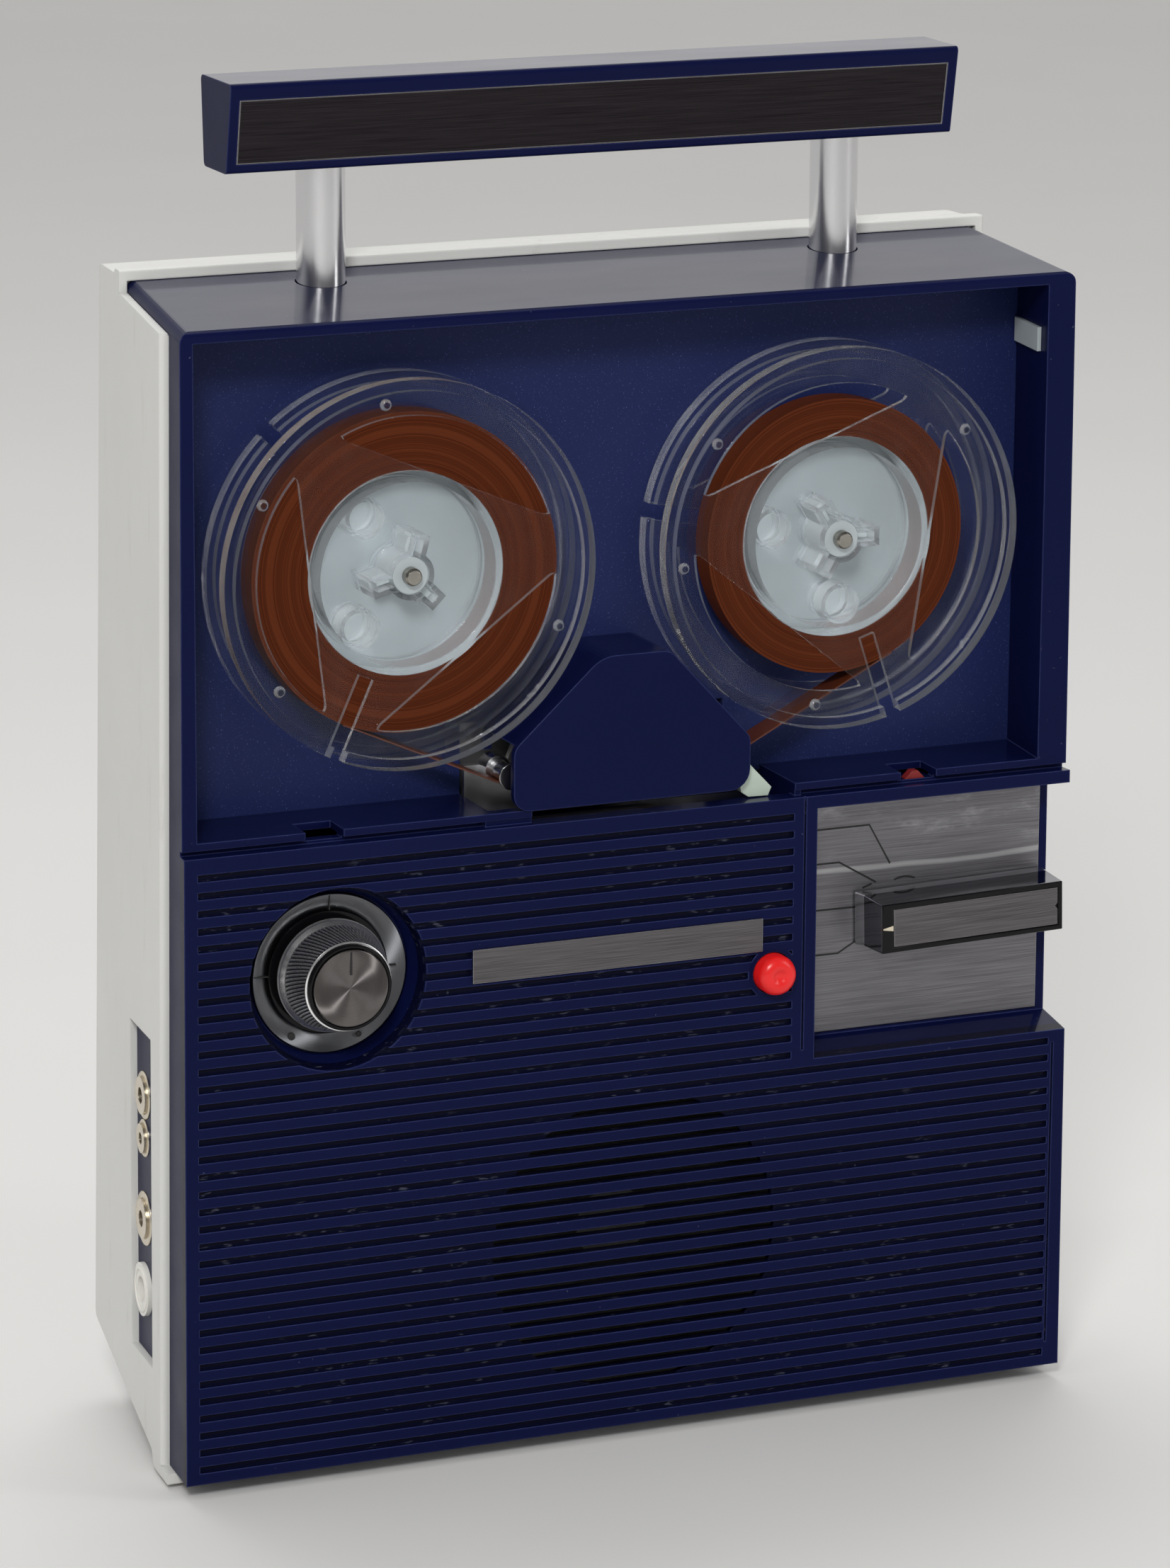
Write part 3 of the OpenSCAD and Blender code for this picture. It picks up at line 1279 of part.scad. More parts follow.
// Drive
module belt_shape(c1, r1, c2, r2) {
  a = tangent_dir(c1, r1, c2, r2, -1);
  b = tangent_dir(c1, r1, c2, r2, 1);
  translate(c1) circle(r = r1);
  translate(c2) circle(r = r2);
  polygon([on_circle(c1, r1, a), on_circle(c2, r2, a), on_circle(c2, r2, b), on_circle(c1, r1, b)]);
}
module belt(c1, r1, c2, r2, y) {
  difference() {
    along_y(y, y + belt_w) belt_shape(c1, r1 + belt_run + belt_t, c2, r2 + belt_run + belt_t);
    along_y(y - over, y + belt_w + over) belt_shape(c1, r1 + belt_run, c2, r2 + belt_run);
  }
}
module flanged_pulley(c, r, y0) {
  y1 = y0 + pulley_flange_t;
  rod_y(c.x, c.y, y0, y1, r + belt_t);
  rod_y(c.x, c.y, y0, y1 + belt_w + 0.2, r);
  rod_y(c.x, c.y, y1 + belt_w + 0.1, y1 + belt_w + 0.1 + pulley_flange_t, r + belt_t);
}
module capstan() color("silver") from_front()
  rod_y(capstan_x, capstan_z, tape_front_y - 1, drive_bracket_y - 0.1, capstan_r);
module flywheel() color("darkgray") from_front() {
  difference() {
    union() {
      rod_y(capstan_x, capstan_z, flywheel_y, flywheel_back_y, flywheel_r);
      rod_y(capstan_x, capstan_z, flywheel_back_y - 0.1, takeup_y + belt_w + pulley_flange_t, flywheel_pulley_r);
    }
    rod_y(capstan_x, capstan_z, 0, 3 * deck_y, capstan_r);
  }
}
module motor() color("silver") from_front() {
  difference() {
    union() {
      rod_y(motor_x, motor_z, motor_y, motor_y + motor_l, motor_r);
      rod_y(motor_x, motor_z, motor_y + motor_l - 0.1, motor_y + motor_l + 2, 4);
    }
    rod_y(motor_x, motor_z, 0, motor_y + 8, 1 + shaft_clear);
  }
}
module motor_pulley() color("goldenrod") from_front() {
  rod_y(motor_x, motor_z, belt_y - 2, motor_y + 7, 1);
  flanged_pulley(motor_c, motor_pulley_r, belt_y - pulley_flange_t - 0.05);
}
module drive_bracket() color("gray") from_front() {
  difference() {
    union() {
      along_y(drive_bracket_y, drive_bracket_y + drive_bracket_t) polygon([
        [-66, 104], [40, 112], [40, 126], [20, 160], [-4, 172], [-12, 172], [-66, 142]
      ]);
      for (p = [[-60, 137], [-28, 110], [36, 120], [-8, 168]])
        rod_y(p[0], p[1], chassis_back_y, drive_bracket_y + 0.2, 2.5);
    }
    rod_y(motor_x, motor_z, 0, 3 * deck_y, 4);
  }
}
module drive_belt() color("dimgray") from_front()
  belt(motor_c, motor_pulley_r, capstan_c, flywheel_r, belt_y);
module takeup_pulley() color("darkgray") from_front() {
  difference() {
    flanged_pulley(right_c, takeup_pulley_r, takeup_y - pulley_flange_t);
    rod_y(right_c.x, right_c.y, 0, 3 * deck_y, pin_r);
  }
}
module takeup_belt() color("dimgray") from_front()
  belt(capstan_c, flywheel_pulley_r, right_c, takeup_pulley_r, takeup_y);

// Volume control
module volume_dial() color("silver") from_front() {
  difference() {
    cone_y(volume_x, volume_z, dial_y, volume_recess_y, dial_r - 0.2, dial_r);
    rod_y(volume_x, volume_z, 0, deck_y, dial_hole_r);
  }
}
module volume_knob() color("gray") from_front() {
  difference() {
    union() {
      cone_y(volume_x, volume_z, knob_face_y, knob_base_y, knob_face_r, knob_base_r);
      rod_y(volume_x, volume_z, knob_base_y - 0.1, pot_back_y - 2, volume_shaft_r);
    }
    rod_y(volume_x, volume_z, knob_face_y - over, knob_face_y + 0.6, knob_cap_r + 0.05);
  }
}
module volume_cap() color("silver") from_front() {
  rod_y(volume_x, volume_z, knob_face_y + 0.1, knob_face_y + 0.6, knob_cap_r);
  cone_y(volume_x, volume_z, -knob_out, knob_face_y + 0.1, knob_cap_r - 0.3, knob_cap_r);
}
module volume_pot() color("gray") from_front() {
  difference() {
    union() {
      rod_y(volume_x, volume_z, volume_floor_y, pot_back_y, pot_r);
      rod_y(volume_x, volume_z, volume_recess_y - 1, volume_floor_y + 0.1, volume_shaft_r + 1.5);
    }
    rod_y(volume_x, volume_z, 0, pot_back_y - 1, volume_shaft_r + shaft_clear);
  }
}

// Record button
module record_button() color("red") from_front() {
  rod_y(button_x, button_z, -button_out + 0.8, button_flange_y + 0.1, button_r);
  cone_y(button_x, button_z, -button_out, -button_out + 0.8, button_r - 0.8, button_r);
  rod_y(button_x, button_z, button_flange_y, button_flange_y + button_flange_t, button_r + 1);
  rod_y(button_x, button_z, button_flange_y, chassis_y - button_travel - 1, 1.4);
}
module record_spring() color("silver") from_front() {
  y0 = button_flange_y + button_flange_t + 0.05;
  difference() {
    rod_y(button_x, button_z, y0, chassis_y - 0.05, 3);
    rod_y(button_x, button_z, y0 - over, chassis_y + over, 2.2);
  }
}
module name_plate() color("silver") from_front()
  block([plate_left_x, plate_right_x], [-plate_t, 0], [plate_z, plate_z + plate_h]);

// Selector
module selector_plate() color("silver") from_front() {
  difference() {
    block(
      [selector_left_x + 0.1, half_width_at(0, selector_floor_y, selector_z) - selector_strip],
      [selector_plate_y, selector_floor_y], [selector_low_z + 0.9, selector_high_z - 0.2]);
    rod_y(selector_x, selector_z, 0, deck_y, selector_shaft_r + 0.4);
  }
}
module on_selector() translate([selector_x, 0, selector_z]) rotate([0, bar_turn, 0]) children();
module bar_prism(w, h) {
  intersection() {
    translate([0, 0, -bar_h]) linear_extrude(2 * bar_h) polygon([
      [-w / 2, -bar_out], [w / 2, -bar_out], [w / 2 + bar_draft, bar_back_y], [-w / 2 - bar_draft, bar_back_y]
    ]);
    along_x(-bar_w, bar_w) polygon([
      [-bar_out, -h / 2], [-bar_out, h / 2], [bar_back_y, h / 2 + bar_draft], [bar_back_y, -h / 2 - bar_draft]
    ]);
  }
}
module selector_knob() color("silver") from_front() {
  on_selector() difference() {
    bar_prism(bar_w, bar_h);
    block([-bar_w / 2 + 2.8, bar_w / 2 - 2.2], [-bar_out - over, -bar_out + bar_inlay_t], [-bar_h / 2 + 1, bar_h / 2 - 1]);
  }
  rod_y(selector_x, selector_z, bar_back_y - over, chassis_y - 3, selector_shaft_r);
}
module selector_inlay() color("silver") from_front() on_selector()
  block(
    [-bar_w / 2 + 2.85, bar_w / 2 - 2.25], [-bar_out + 0.1, -bar_out + bar_inlay_t],
    [-bar_h / 2 + 1.05, bar_h / 2 - 1.05]);
module selector_switch() color("dimgray") from_front() {
  difference() {
    block([selector_x - 14, selector_x + 14], [recess_back_y, chassis_y - 2], [selector_z - 13, selector_z + 13]);
    rod_y(selector_x, selector_z, 0, chassis_y - 2.5, selector_shaft_r + shaft_clear);
  }
}

// Jack panel, in the left side's own frame
module jack_shape(r_out, r_hole, along, depth) {
  translate([0, jack_off_y, along]) rotate([0, 90, 0]) difference() {
    union() {
      translate([0, 0, jack_bush_in]) cylinder(h = jack_plate_in - jack_bush_in + depth, r = r_out);
      translate([0, 0, jack_plate_in + jack_plate_t]) cylinder(h = depth - jack_plate_t, r = r_out + 1);
    }
    translate([0, 0, -over]) cylinder(h = depth + jack_plate_in, r = r_hole);
  }
}
module jack_block(x, grow) {
  w = jack_opening_w / 2 + grow;
  h = jack_opening_h / 2 + grow;
  block(x, [-w, w], [-h, h]);
}
module jack_plate() color("midnightblue") from_front() on_left(jack_y, jack_z) {
  difference() {
    union() {
      jack_block([jack_plate_in, jack_plate_in + jack_plate_t], 1.5);
      jack_block([jack_face_in, jack_plate_in + 0.2], -0.15);
    }
    for (p = concat([for (i = [0:2]) [jack_along[i], jack_rs[i]]], [[inlet_along, inlet_r]]))
      translate([0, jack_off_y, p.x]) rotate([0, 90, 0]) cylinder(h = 3 * jack_plate_in, r = p.y);
  }
}
module jack_sockets() color("silver") from_front() on_left(jack_y, jack_z) {
  jack_shape(jack_rs[0], jack_hole_r, jack_along[0], 13);
  jack_shape(jack_rs[1], small_jack_hole_r, jack_along[1], 11);
  jack_shape(jack_rs[2], jack_hole_r, jack_along[2], 13);
}
module power_inlet() color("whitesmoke") from_front() on_left(jack_y, jack_z) {
  jack_shape(inlet_r, inlet_hole_r, inlet_along, 11);
  translate([jack_plate_in + 1, jack_off_y, inlet_along]) rotate([0, 90, 0]) cylinder(h = 10, r = 0.6);
}

// Small pieces in the well
module lid_catch() color("lightsteelblue") from_front() {
  translate([0, 0, 231.7]) linear_extrude(5.2)
    polygon([
      [well_wall_x(5.5) - 0.02, 5.5], [well_wall_x(19.1) - 0.02, 19.1], [well_wall_x(19.1) - 0.9, 19.1],
      [well_wall_x(5.5) - 0.9, 5.5]
    ]);
}
module notch_tab() color("red") from_front()
  along_y(sill_groove_y + 0.2, sill_groove_y + 2.3)
    polygon([[64, notch_z], [68.6, notch_z], [67, notch_z + 1.7], [65.7, notch_z + 1.7]]);

// Loudspeaker
module speaker() color("dimgray") from_front() {
  y0 = front_wall + 0.1;
  y1 = y0 + speaker_depth;
  difference() {
    union() {
      rod_y(0, speaker_z, y0, y0 + 1.6, speaker_r);
      cone_y(0, speaker_z, y0 + 1.5, y1 - 9, speaker_r - 3, 13);
      rod_y(0, speaker_z, y1 - 9.1, y1, 16);
    }
    cone_y(0, speaker_z, y0 - 0.01, y0 + 11, speaker_r - 5, 8);
  }
}

// Circuit board with its larger components
module circuit_board() color("peru") from_front() {
  x0 = board_mid_x - board_w / 2;
  difference() {
    block([x0, x0 + board_w], [board_y, board_y + board_t], [board_z, board_z + board_h]);
    for (x = board_xs) for (z = board_zs) rod_y(x, z, board_y - over, board_y + board_t + over, 1.3);
  }
  for (p = [[20, 104, 4], [34, 104, 4], [56, 108, 5], [72, 134, 5]])
    rod_y(p[0], p[1], board_y - 9, board_y + 0.1, p[2]);
  for (p = [[40, 132], [58, 146]]) block([p[0], p[0] + 11], [board_y - 8, board_y + 0.1], [p[1], p[1] + 8]);
}

front_case();
back_shell();
deck_plate();
chassis_plate();
case_screws();
feet();
battery_tray();
battery_contacts();
battery_cells();
battery_door();
handle_grip();
handle_inlay();
handle_posts();
post_sleeves();
left_turntable();
right_turntable();
left_spindle();
right_spindle();
bearing_bushes();
left_reel();
right_reel();
left_tape_pack();
right_tape_pack();
tape_run();
head_cover();
head_bracket();
record_play_head();
erase_head();
pressure_pads();
tape_guides();
pinch_arm();
pinch_roller();
capstan();
flywheel();
motor();
motor_pulley();
drive_bracket();
drive_belt();
takeup_pulley();
takeup_belt();
volume_dial();
volume_knob();
volume_cap();
volume_pot();
record_button();
record_spring();
name_plate();
selector_plate();
selector_knob();
selector_inlay();
selector_switch();
jack_plate();
jack_sockets();
power_inlet();
lid_catch();
notch_tab();
speaker();
circuit_board();
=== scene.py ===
"""Portable reel-to-reel tape recorder: finishes, small pieces, light and camera.

Lengths are millimetres: x to the right, y back from the ribbed panel's face, z up.
Places and sizes of the lamps, the camera and the floor are metres, as in the frame.
"""
import math

import bmesh
import bpy
from mathutils import Matrix, Vector


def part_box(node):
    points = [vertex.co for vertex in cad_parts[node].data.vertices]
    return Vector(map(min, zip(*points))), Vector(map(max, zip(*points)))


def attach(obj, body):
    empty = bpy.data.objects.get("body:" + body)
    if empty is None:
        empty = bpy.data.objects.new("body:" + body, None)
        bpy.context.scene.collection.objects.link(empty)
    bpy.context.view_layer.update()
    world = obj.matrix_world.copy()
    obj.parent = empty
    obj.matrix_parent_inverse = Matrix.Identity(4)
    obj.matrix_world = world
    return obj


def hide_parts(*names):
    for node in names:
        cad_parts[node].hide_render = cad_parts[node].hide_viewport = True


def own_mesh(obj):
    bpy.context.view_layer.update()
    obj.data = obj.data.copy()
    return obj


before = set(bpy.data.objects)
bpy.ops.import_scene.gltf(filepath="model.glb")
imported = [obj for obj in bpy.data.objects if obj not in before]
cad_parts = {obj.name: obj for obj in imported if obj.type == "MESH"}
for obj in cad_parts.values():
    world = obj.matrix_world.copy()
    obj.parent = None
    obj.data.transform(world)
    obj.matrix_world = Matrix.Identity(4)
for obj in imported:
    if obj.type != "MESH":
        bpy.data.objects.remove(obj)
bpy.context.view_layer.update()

MM = 0.001
# The panel's face in the frame, in metres
PANEL_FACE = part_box("name_plate")[1][1]

# Case: sizes, and the angles of its sides and back
CASE_HALF_WIDTH, RIM_PROUD, FRONT_BOTTOM_Z = 102.9, 1.9, 3.5
SIDE_TAPER, SIDE_LEAN, BACK_TILT = math.radians(4.86), math.radians(0.29), math.radians(2.59)
BACK_LOW_Y, BACK_LOW_Z = 73.5, 26
GROOVE_START, GROOVE_FLOOR, RIBS_TOP_Z = 0.35, 2.6, 138.7

# Places on the front, as (x, z), and how far the selector is turned at rest
LEFT_REEL, RIGHT_REEL = (-50.3, 194.5), (48.3, 194.5)
VOLUME, BUTTON, SELECTOR = (-68.3, 110.8), (31.5, 101.5), (77.8, 109.8)
LOUDSPEAKER = (0, 45)
SELECTOR_TURN = math.radians(1.5)

# Sockets: the middle of their plate on the left side, and how far behind it they are
JACK_Y, JACK_Z, SOCKETS_BEHIND = 29.5, 59.4, 2.5

# Volume control: heights are along its axis, out of the panel's face
SKIRT_LOW, SKIRT_HIGH, SKIRT_RADIUS, SKIRT_TAPER = -2.0, 5.1, 11.35, 1.9
DIAL_BASE, DIAL_INNER, DIAL_OUTER = -6.48, 13.25, 17.3
KNURLS, KNURL_DEPTH = 78, 0.42

# Grip: its front face, and the dark strip's lower edge and height on it
GRIP_LOW_Z, GRIP_HEIGHT, GRIP_LOW_Y, GRIP_TOP_Y = 276.8, 18.9, 25.4, 22.0
STRIP_LOW, STRIP_HEIGHT, STRIP_HALF_LENGTH = 1.945, 13.8, 80.5

# Record button's spring
SPRING_FRONT, SPRING_BACK, BUTTON_TRAVEL = 4.05, 23.95, 2.5


def at(x, y, z):
    """The frame's point, in metres, for a place given in millimetres from the panel's face."""
    return Vector((x * MM, PANEL_FACE + y * MM, z * MM))


# Finishes

class Wire:
    """One output of a node; arithmetic on it adds the Math nodes."""

    def __init__(self, nodes, socket):
        self.nodes = nodes
        self.socket = socket

    def math(self, operation, a, b):
        return self.nodes.node("Math", {"operation": operation}, {0: a, 1: b})

    def __add__(self, other):
        return self.math("ADD", self, other)

    def __sub__(self, other):
        return self.math("SUBTRACT", self, other)

    def __rsub__(self, other):
        return self.math("SUBTRACT", other, self)

    def __mul__(self, other):
        return self.math("MULTIPLY", self, other)

    def __gt__(self, other):
        return self.math("GREATER_THAN", self, other)

    def __lt__(self, other):
        return self.math("LESS_THAN", self, other)

    __radd__, __rmul__ = __add__, __mul__

    def or_larger(self, other):
        return self.math("MAXIMUM", self, other)

    def swell(self, low, high):
        """0 at low, 1 at high, with an eased change between them."""
        return self.nodes.node(
            "MapRange", {"interpolation_type": "SMOOTHSTEP"},
            {"Value": self, "From Min": low, "From Max": high})


class NodeTree:
    """The nodes of a material or of the world."""

    def __init__(self, owner):
        owner.use_nodes = True
        self.tree = owner.node_tree
        self.tree.nodes.clear()

    def node(self, kind, settings=None, values=None, out=0):
        """Add a node: its settings first, then the values or links of its sockets."""
        new = self.tree.nodes.new("ShaderNode" + kind)
        for key, value in (settings or {}).items():
            setattr(new, key, value)
        for key, value in (values or {}).items():
            if isinstance(value, Wire):
                self.tree.links.new(value.socket, new.inputs[key])
            else:
                new.inputs[key].default_value = value
        return Wire(self, new.outputs[out]) if new.outputs else None


class Finish(NodeTree):
    """A material under construction."""

    def __init__(self, name):
        self.material = bpy.data.materials.new(name)
        super().__init__(self.material)

    def place(self):
        """Place on the piece in millimetres."""
        metres = self.node("TexCoord", out="Object")
        return self.node("VectorMath", {"operation": "SCALE"}, {0: metres, "Scale": 1 / MM})

    def along(self, axis):
        """Place along X, Y or Z in millimetres."""
        return self.node("SeparateXYZ", None, {0: self.place()}, out=axis)

    def behind_panel(self):
        """Depth behind the ribbed panel's face in millimetres."""
        return self.along("Y") - PANEL_FACE / MM

    def normal(self):
        return self.node("NewGeometry", out="Normal")

    def facing(self, axis):
        """How squarely the surface faces along X, Y or Z, from -1 to 1."""
        return self.node("SeparateXYZ", None, {0: self.normal()}, out=axis)

    def stretched(self, vector, factors):
        return self.node("VectorMath", {"operation": "MULTIPLY"}, {0: vector, 1: factors})

    def length(self, vector):
        return self.node("VectorMath", {"operation": "LENGTH"}, {0: vector}, out="Value")

    def from_axis(self, centre):
        """Distance from an axis that runs from front to back through centre (x, z)."""
        x, z = centre
        moved = self.node("VectorMath", {"operation": "SUBTRACT"}, {0: self.place(), 1: (x, 0, z)})
        return self.length(self.stretched(moved, (1, 0, 1)))

    def from_own_axis(self):
        """Distance from the piece's own z axis."""
        return self.length(self.stretched(self.place(), (1, 1, 0)))

    def noise(self, size, detail=2.0, stretch=(1, 1, 1), roughness=0.5):
        """Cloudy noise with features of about this size, longer along stretched axes."""
        scaled = self.stretched(self.place(), tuple(1 / (size * s) for s in stretch))
        return self.node(
            "TexNoise", None, {"Vector": scaled, "Scale": 1.0, "Detail": detail, "Roughness": roughness})

    def rings(self, radius, per_mm, detail):
        """Noise that changes with the radius alone."""
        return self.node(
            "TexNoise", {"noise_dimensions": "1D"}, {"W": radius * per_mm, "Scale": 1.0, "Detail": detail})

    def mix(self, factor, a, b):
        """Colour a changing to colour b."""
        a, b = (c if isinstance(c, Wire) else (*c, 1.0) for c in (a, b))
        return self.node("Mix", {"data_type": "RGBA"}, {0: factor, 6: a, 7: b}, out=2)

    def soft_edges(self, radius):
        """Normal of the surface with its edges rounded by this radius."""
        return self.node("Bevel", {"samples": 4}, {"Radius": radius * MM})

    def edges(self, rounded):
        """1 on the edges that soft_edges rounds, 0 on the flats."""
        same = self.node(
            "VectorMath", {"operation": "DOT_PRODUCT"}, {0: rounded, 1: self.normal()}, out="Value")
        return (1 - same).swell(0.02, 0.25)

    def bump(self, height, depth, normal=None):
        """Relief of this depth where height goes from 0 to 1."""
        values = {"Strength": 1.0, "Distance": depth * MM, "Height": height}
        if normal is not None:
            values["Normal"] = normal
        return self.node("Bump", None, values)

    def principled(self, **sockets):
        """The general surface shader; sockets are named as on it, with _ for spaces."""
        values = {key.replace("_", " "): value for key, value in sockets.items()}
        if not isinstance(values["Base Color"], Wire):
            values["Base Color"] = (*values["Base Color"], 1.0)
        return self.node("BsdfPrincipled", None, values)

    def close(self, shader):
        """The material, with this shader on its surface."""
        self.node("OutputMaterial", None, {"Surface": shader})
        return self.material

    def surface(self, **sockets):
        return self.close(self.principled(**sockets))


def navy_moulding(name, dust_and_groove_shade):
    """Glossy navy moulding, its edges paler, partly from wear and partly as a painted highlight; on the
    ribbed panel, painted shade darkens the groove floors and dust settles in the grooves.
    """
    f = Finish(name)
    rounded = f.soft_edges(0.45)
    # Paler edges: partly wear, partly a painted highlight.
    edge_wear_and_highlight = f.edges(rounded) * (0.35 + 0.7 * f.noise(2.5, 3))
    colour = f.mix(f.noise(38, 3), (0.0026, 0.0044, 0.031), (0.0038, 0.006, 0.041))
    colour = f.mix(edge_wear_and_highlight, colour, (0.06, 0.075, 0.22))
    if dust_and_groove_shade:
        depth = f.behind_panel()
        in_groove = (depth > GROOVE_START) * (depth < GROOVE_FLOOR) * (f.along("Z") < RIBS_TOP_Z)
        # Painted shade: the groove floors are darkened.
        colour = f.mix(in_groove * 0.88, colour, (0.0013, 0.0018, 0.01))
        threads = f.noise(0.9, 4, (3.5, 1, 0.8)).swell(0.6, 0.72)
        lint = threads * f.noise(17, 2, (2, 1, 1)).swell(0.42, 0.62)
        colour = f.mix(in_groove * lint * 0.45, colour, (0.12, 0.13, 0.18))
        specks = f.noise(1.1, 2).swell(0.73, 0.79)
        colour = f.mix(specks * 0.13, colour, (0.3, 0.32, 0.4))
    rub = f.noise(9, 4, (3, 1, 1))
    grain = f.noise(0.35, 2)
    upward = f.facing("Z").swell(0.9, 0.98)
    return f.surface(
        Base_Color=colour, Roughness=0.24 + 0.14 * rub, Specular_IOR_Level=0.07,
        Coat_Weight=upward * 0.6, Coat_Roughness=0.07, Coat_IOR=1.45, Normal=f.bump(grain, 0.006, rounded))


def speckled_deck_paint():
    """Navy paint with fine pale flecks in it."""
    f = Finish("speckled_deck_paint")
    base = f.mix(f.noise(30, 3), (0.0095, 0.0155, 0.068), (0.013, 0.02, 0.082))
    fleck = f.noise(0.32, 1).swell(0.66, 0.76)
    return f.surface(
        Base_Color=f.mix(fleck * 0.55, base, (0.13, 0.17, 0.36)),
        Roughness=0.32 + 0.12 * f.noise(14, 3), Specular_IOR_Level=0.12,
        Normal=f.bump(f.noise(0.6, 2), 0.012, f.soft_edges(0.3)))


def grey_moulding():
    """Light grey satin moulding with faint handling marks and a painted highlight on its edges."""
    f = Finish("grey_moulding")
    rounded = f.soft_edges(0.5)
    base = f.mix(f.noise(45, 4), (0.6, 0.6, 0.575), (0.68, 0.68, 0.655))
    marks = f.noise(5, 5, (1, 1, 6), 0.7).swell(0.58, 0.75)
    colour = f.mix(marks * 0.25, base, (0.36, 0.34, 0.3))
    # Painted highlight: the edges are lightened.
    colour = f.mix(f.edges(rounded) * 0.35, colour, (0.72, 0.72, 0.7))
    return f.surface(
        Base_Color=colour, Roughness=0.36 + 0.16 * f.noise(12, 3), Specular_IOR_Level=0.45,
        Normal=f.bump(f.noise(0.5, 3), 0.012, rounded))


def clear_moulding():
    """Clear plastic of the reels: its flats show what is behind, its cut edges carry a painted pale
    highlight, lamps shine in.
    """
    f = Finish("clear_moulding")
    haze = f.noise(7, 4).swell(0.45, 0.8)
    facing = f.facing("Y")
    flat = (facing * facing).swell(0.7, 0.92)
    lamp_ray = f.node("LightPath", out="Is Shadow Ray")
    body = f.principled(
        Base_Color=(0.95, 0.965, 0.975), Roughness=0.015 + 0.03 * haze, IOR=1.42,
        Specular_IOR_Level=0.5, Transmission_Weight=1.0,
        Normal=f.bump(f.noise(9, 2), 0.03, f.soft_edges(0.65)))
    # Painted highlight: a pale, partly opaque shader on the cut edges stands in for light carried through the
    # plastic.
    painted_edge_light = f.principled(
        Base_Color=(0.8, 0.82, 0.84), Roughness=0.12 + 0.1 * haze, Specular_IOR_Level=0.6)
    through = f.node("BsdfTransparent", None, {"Color": (0.96, 0.965, 0.97, 1)})
    solid = f.node("MixShader", None, {0: (1 - flat) * 0.17, 1: body, 2: painted_edge_light})
    see_through = lamp_ray.or_larger(flat * (0.84 - 0.16 * haze))
    return f.close(f.node("MixShader", None, {0: see_through, 1: solid, 2: through}))


def wound_tape(name, centre):
    """Brown tape wound edge to edge, in fine rings about the reel's middle."""
    f = Finish(name)
    radius = f.from_axis(centre)
    layers = f.rings(radius, 3.1, 4.0)
    bands = f.rings(radius, 0.45, 1.0)
    colour = f.mix(layers.swell(0.3, 0.7), (0.042, 0.008, 0.0018), (0.08, 0.0155, 0.0035))
    colour = f.mix(bands.swell(0.4, 0.7) * 0.4, colour, (0.12, 0.028, 0.008))
    return f.surface(
        Base_Color=colour, Roughness=0.36 + 0.18 * bands, Specular_IOR_Level=0.07,
        Normal=f.bump(layers, 0.03))


def plain_finish(name, light, dark, roughness, spread=0.1, metallic=0.0, cloud=8, stretch=(1, 1, 1),
                 grain=0.5, relief=0.01, edge=0.25, specular=0.5):
    """A finish of two close tones, with cloudy shine, a fine grain, softened edges and a painted highlight on
    them.
    """
    f = Finish(name)
    rounded = f.soft_edges(edge)
    colour = f.mix(f.noise(cloud, 3, stretch), dark, light)
    # Painted highlight: the edges get a lighter tone.
    edge_highlight_tone = tuple(min(1.0, c * 1.3 + 0.01) for c in light)
    return f.surface(
        Base_Color=f.mix(f.edges(rounded) * 0.4, colour, edge_highlight_tone), Metallic=metallic,
        Roughness=roughness + spread * f.noise(cloud * 0.6, 3, stretch), Specular_IOR_Level=specular,
        Normal=f.bump(f.noise(grain, 2, stretch), relief, rounded))


def painted_glare_and_clouds(f):
    """Painted light on the selector plate: one bowed bright streak, light thrown from the bar, with pale
    clouds above it; and the clouds alone.
    """
    streak_middle_x, streak_z, bow_rate, lowest = 70, 120.9, 0.0011, -1.2
    clouds_start_z, clouds_full_z = 119, 128
    x = f.along("X")
    z = f.along("Z")
    waver = 2.2 * f.noise(16, 2, (2, 1, 1))
    bow = (x - streak_middle_x) * (x - streak_middle_x) * bow_rate
    gap = z + waver - bow - streak_z
    # Painted light: a bright bowed streak thrown from the bar onto the plate.
    streak = (1 - (gap * gap).swell(0.0, 0.7)) * (gap > lowest)
    clouds = f.noise(7, 5, (3, 1, 1), 0.7).swell(0.5, 0.75)
    return streak * 0.35 + clouds * z.swell(clouds_start_z, clouds_full_z) * 0.3, clouds


def brushed_plate(name, light, dark, roughness, with_painted_glare=False):
    """Metal brushed along x, with a painted highlight on its edges; the selector plate also gets a painted
    streak of light.
    """
    f = Finish(name)
    rounded = f.soft_edges(0.2)
    hairs = f.noise(0.16, 3, (90, 1, 1))
    bands = f.noise(2.2, 2, (25, 1, 1))
    colour = f.mix(hairs.swell(0.3, 0.7), dark, light)
    colour = f.mix(bands.swell(0.35, 0.7) * 0.35, colour, light)
    shine = roughness + 0.14 * hairs
    if with_painted_glare:
        # Painted light: the bright streak from the bar and the pale clouds are mixed in.
        marks, clouds = painted_glare_and_clouds(f)
        colour = f.mix(marks, colour, (0.85, 0.85, 0.86))
        shine = shine + 0.12 * clouds
    # Painted highlight: the edges are lightened towards white.
    colour = f.mix(f.edges(rounded) * 0.7, colour, (0.92, 0.92, 0.92))
    return f.surface(
        Base_Color=colour, Metallic=0.92, Roughness=shine, Normal=f.bump(hairs, 0.012, rounded))


def spun_metal(name, light, dark, roughness):
    """Metal turned on a lathe: fine rings about the piece's own axis."""
    f = Finish(name)
    cuts = f.rings(f.from_own_axis(), 9.0, 3.0)
    wipes = f.noise(3, 4, (1, 2.5, 1)).swell(0.45, 0.75)
    return f.surface(
        Base_Color=f.mix(cuts, dark, light), Metallic=1.0, Roughness=roughness + 0.08 * wipes,
        Anisotropic=1.0, Normal=f.bump(cuts, 0.0025, f.soft_edges(0.15)))


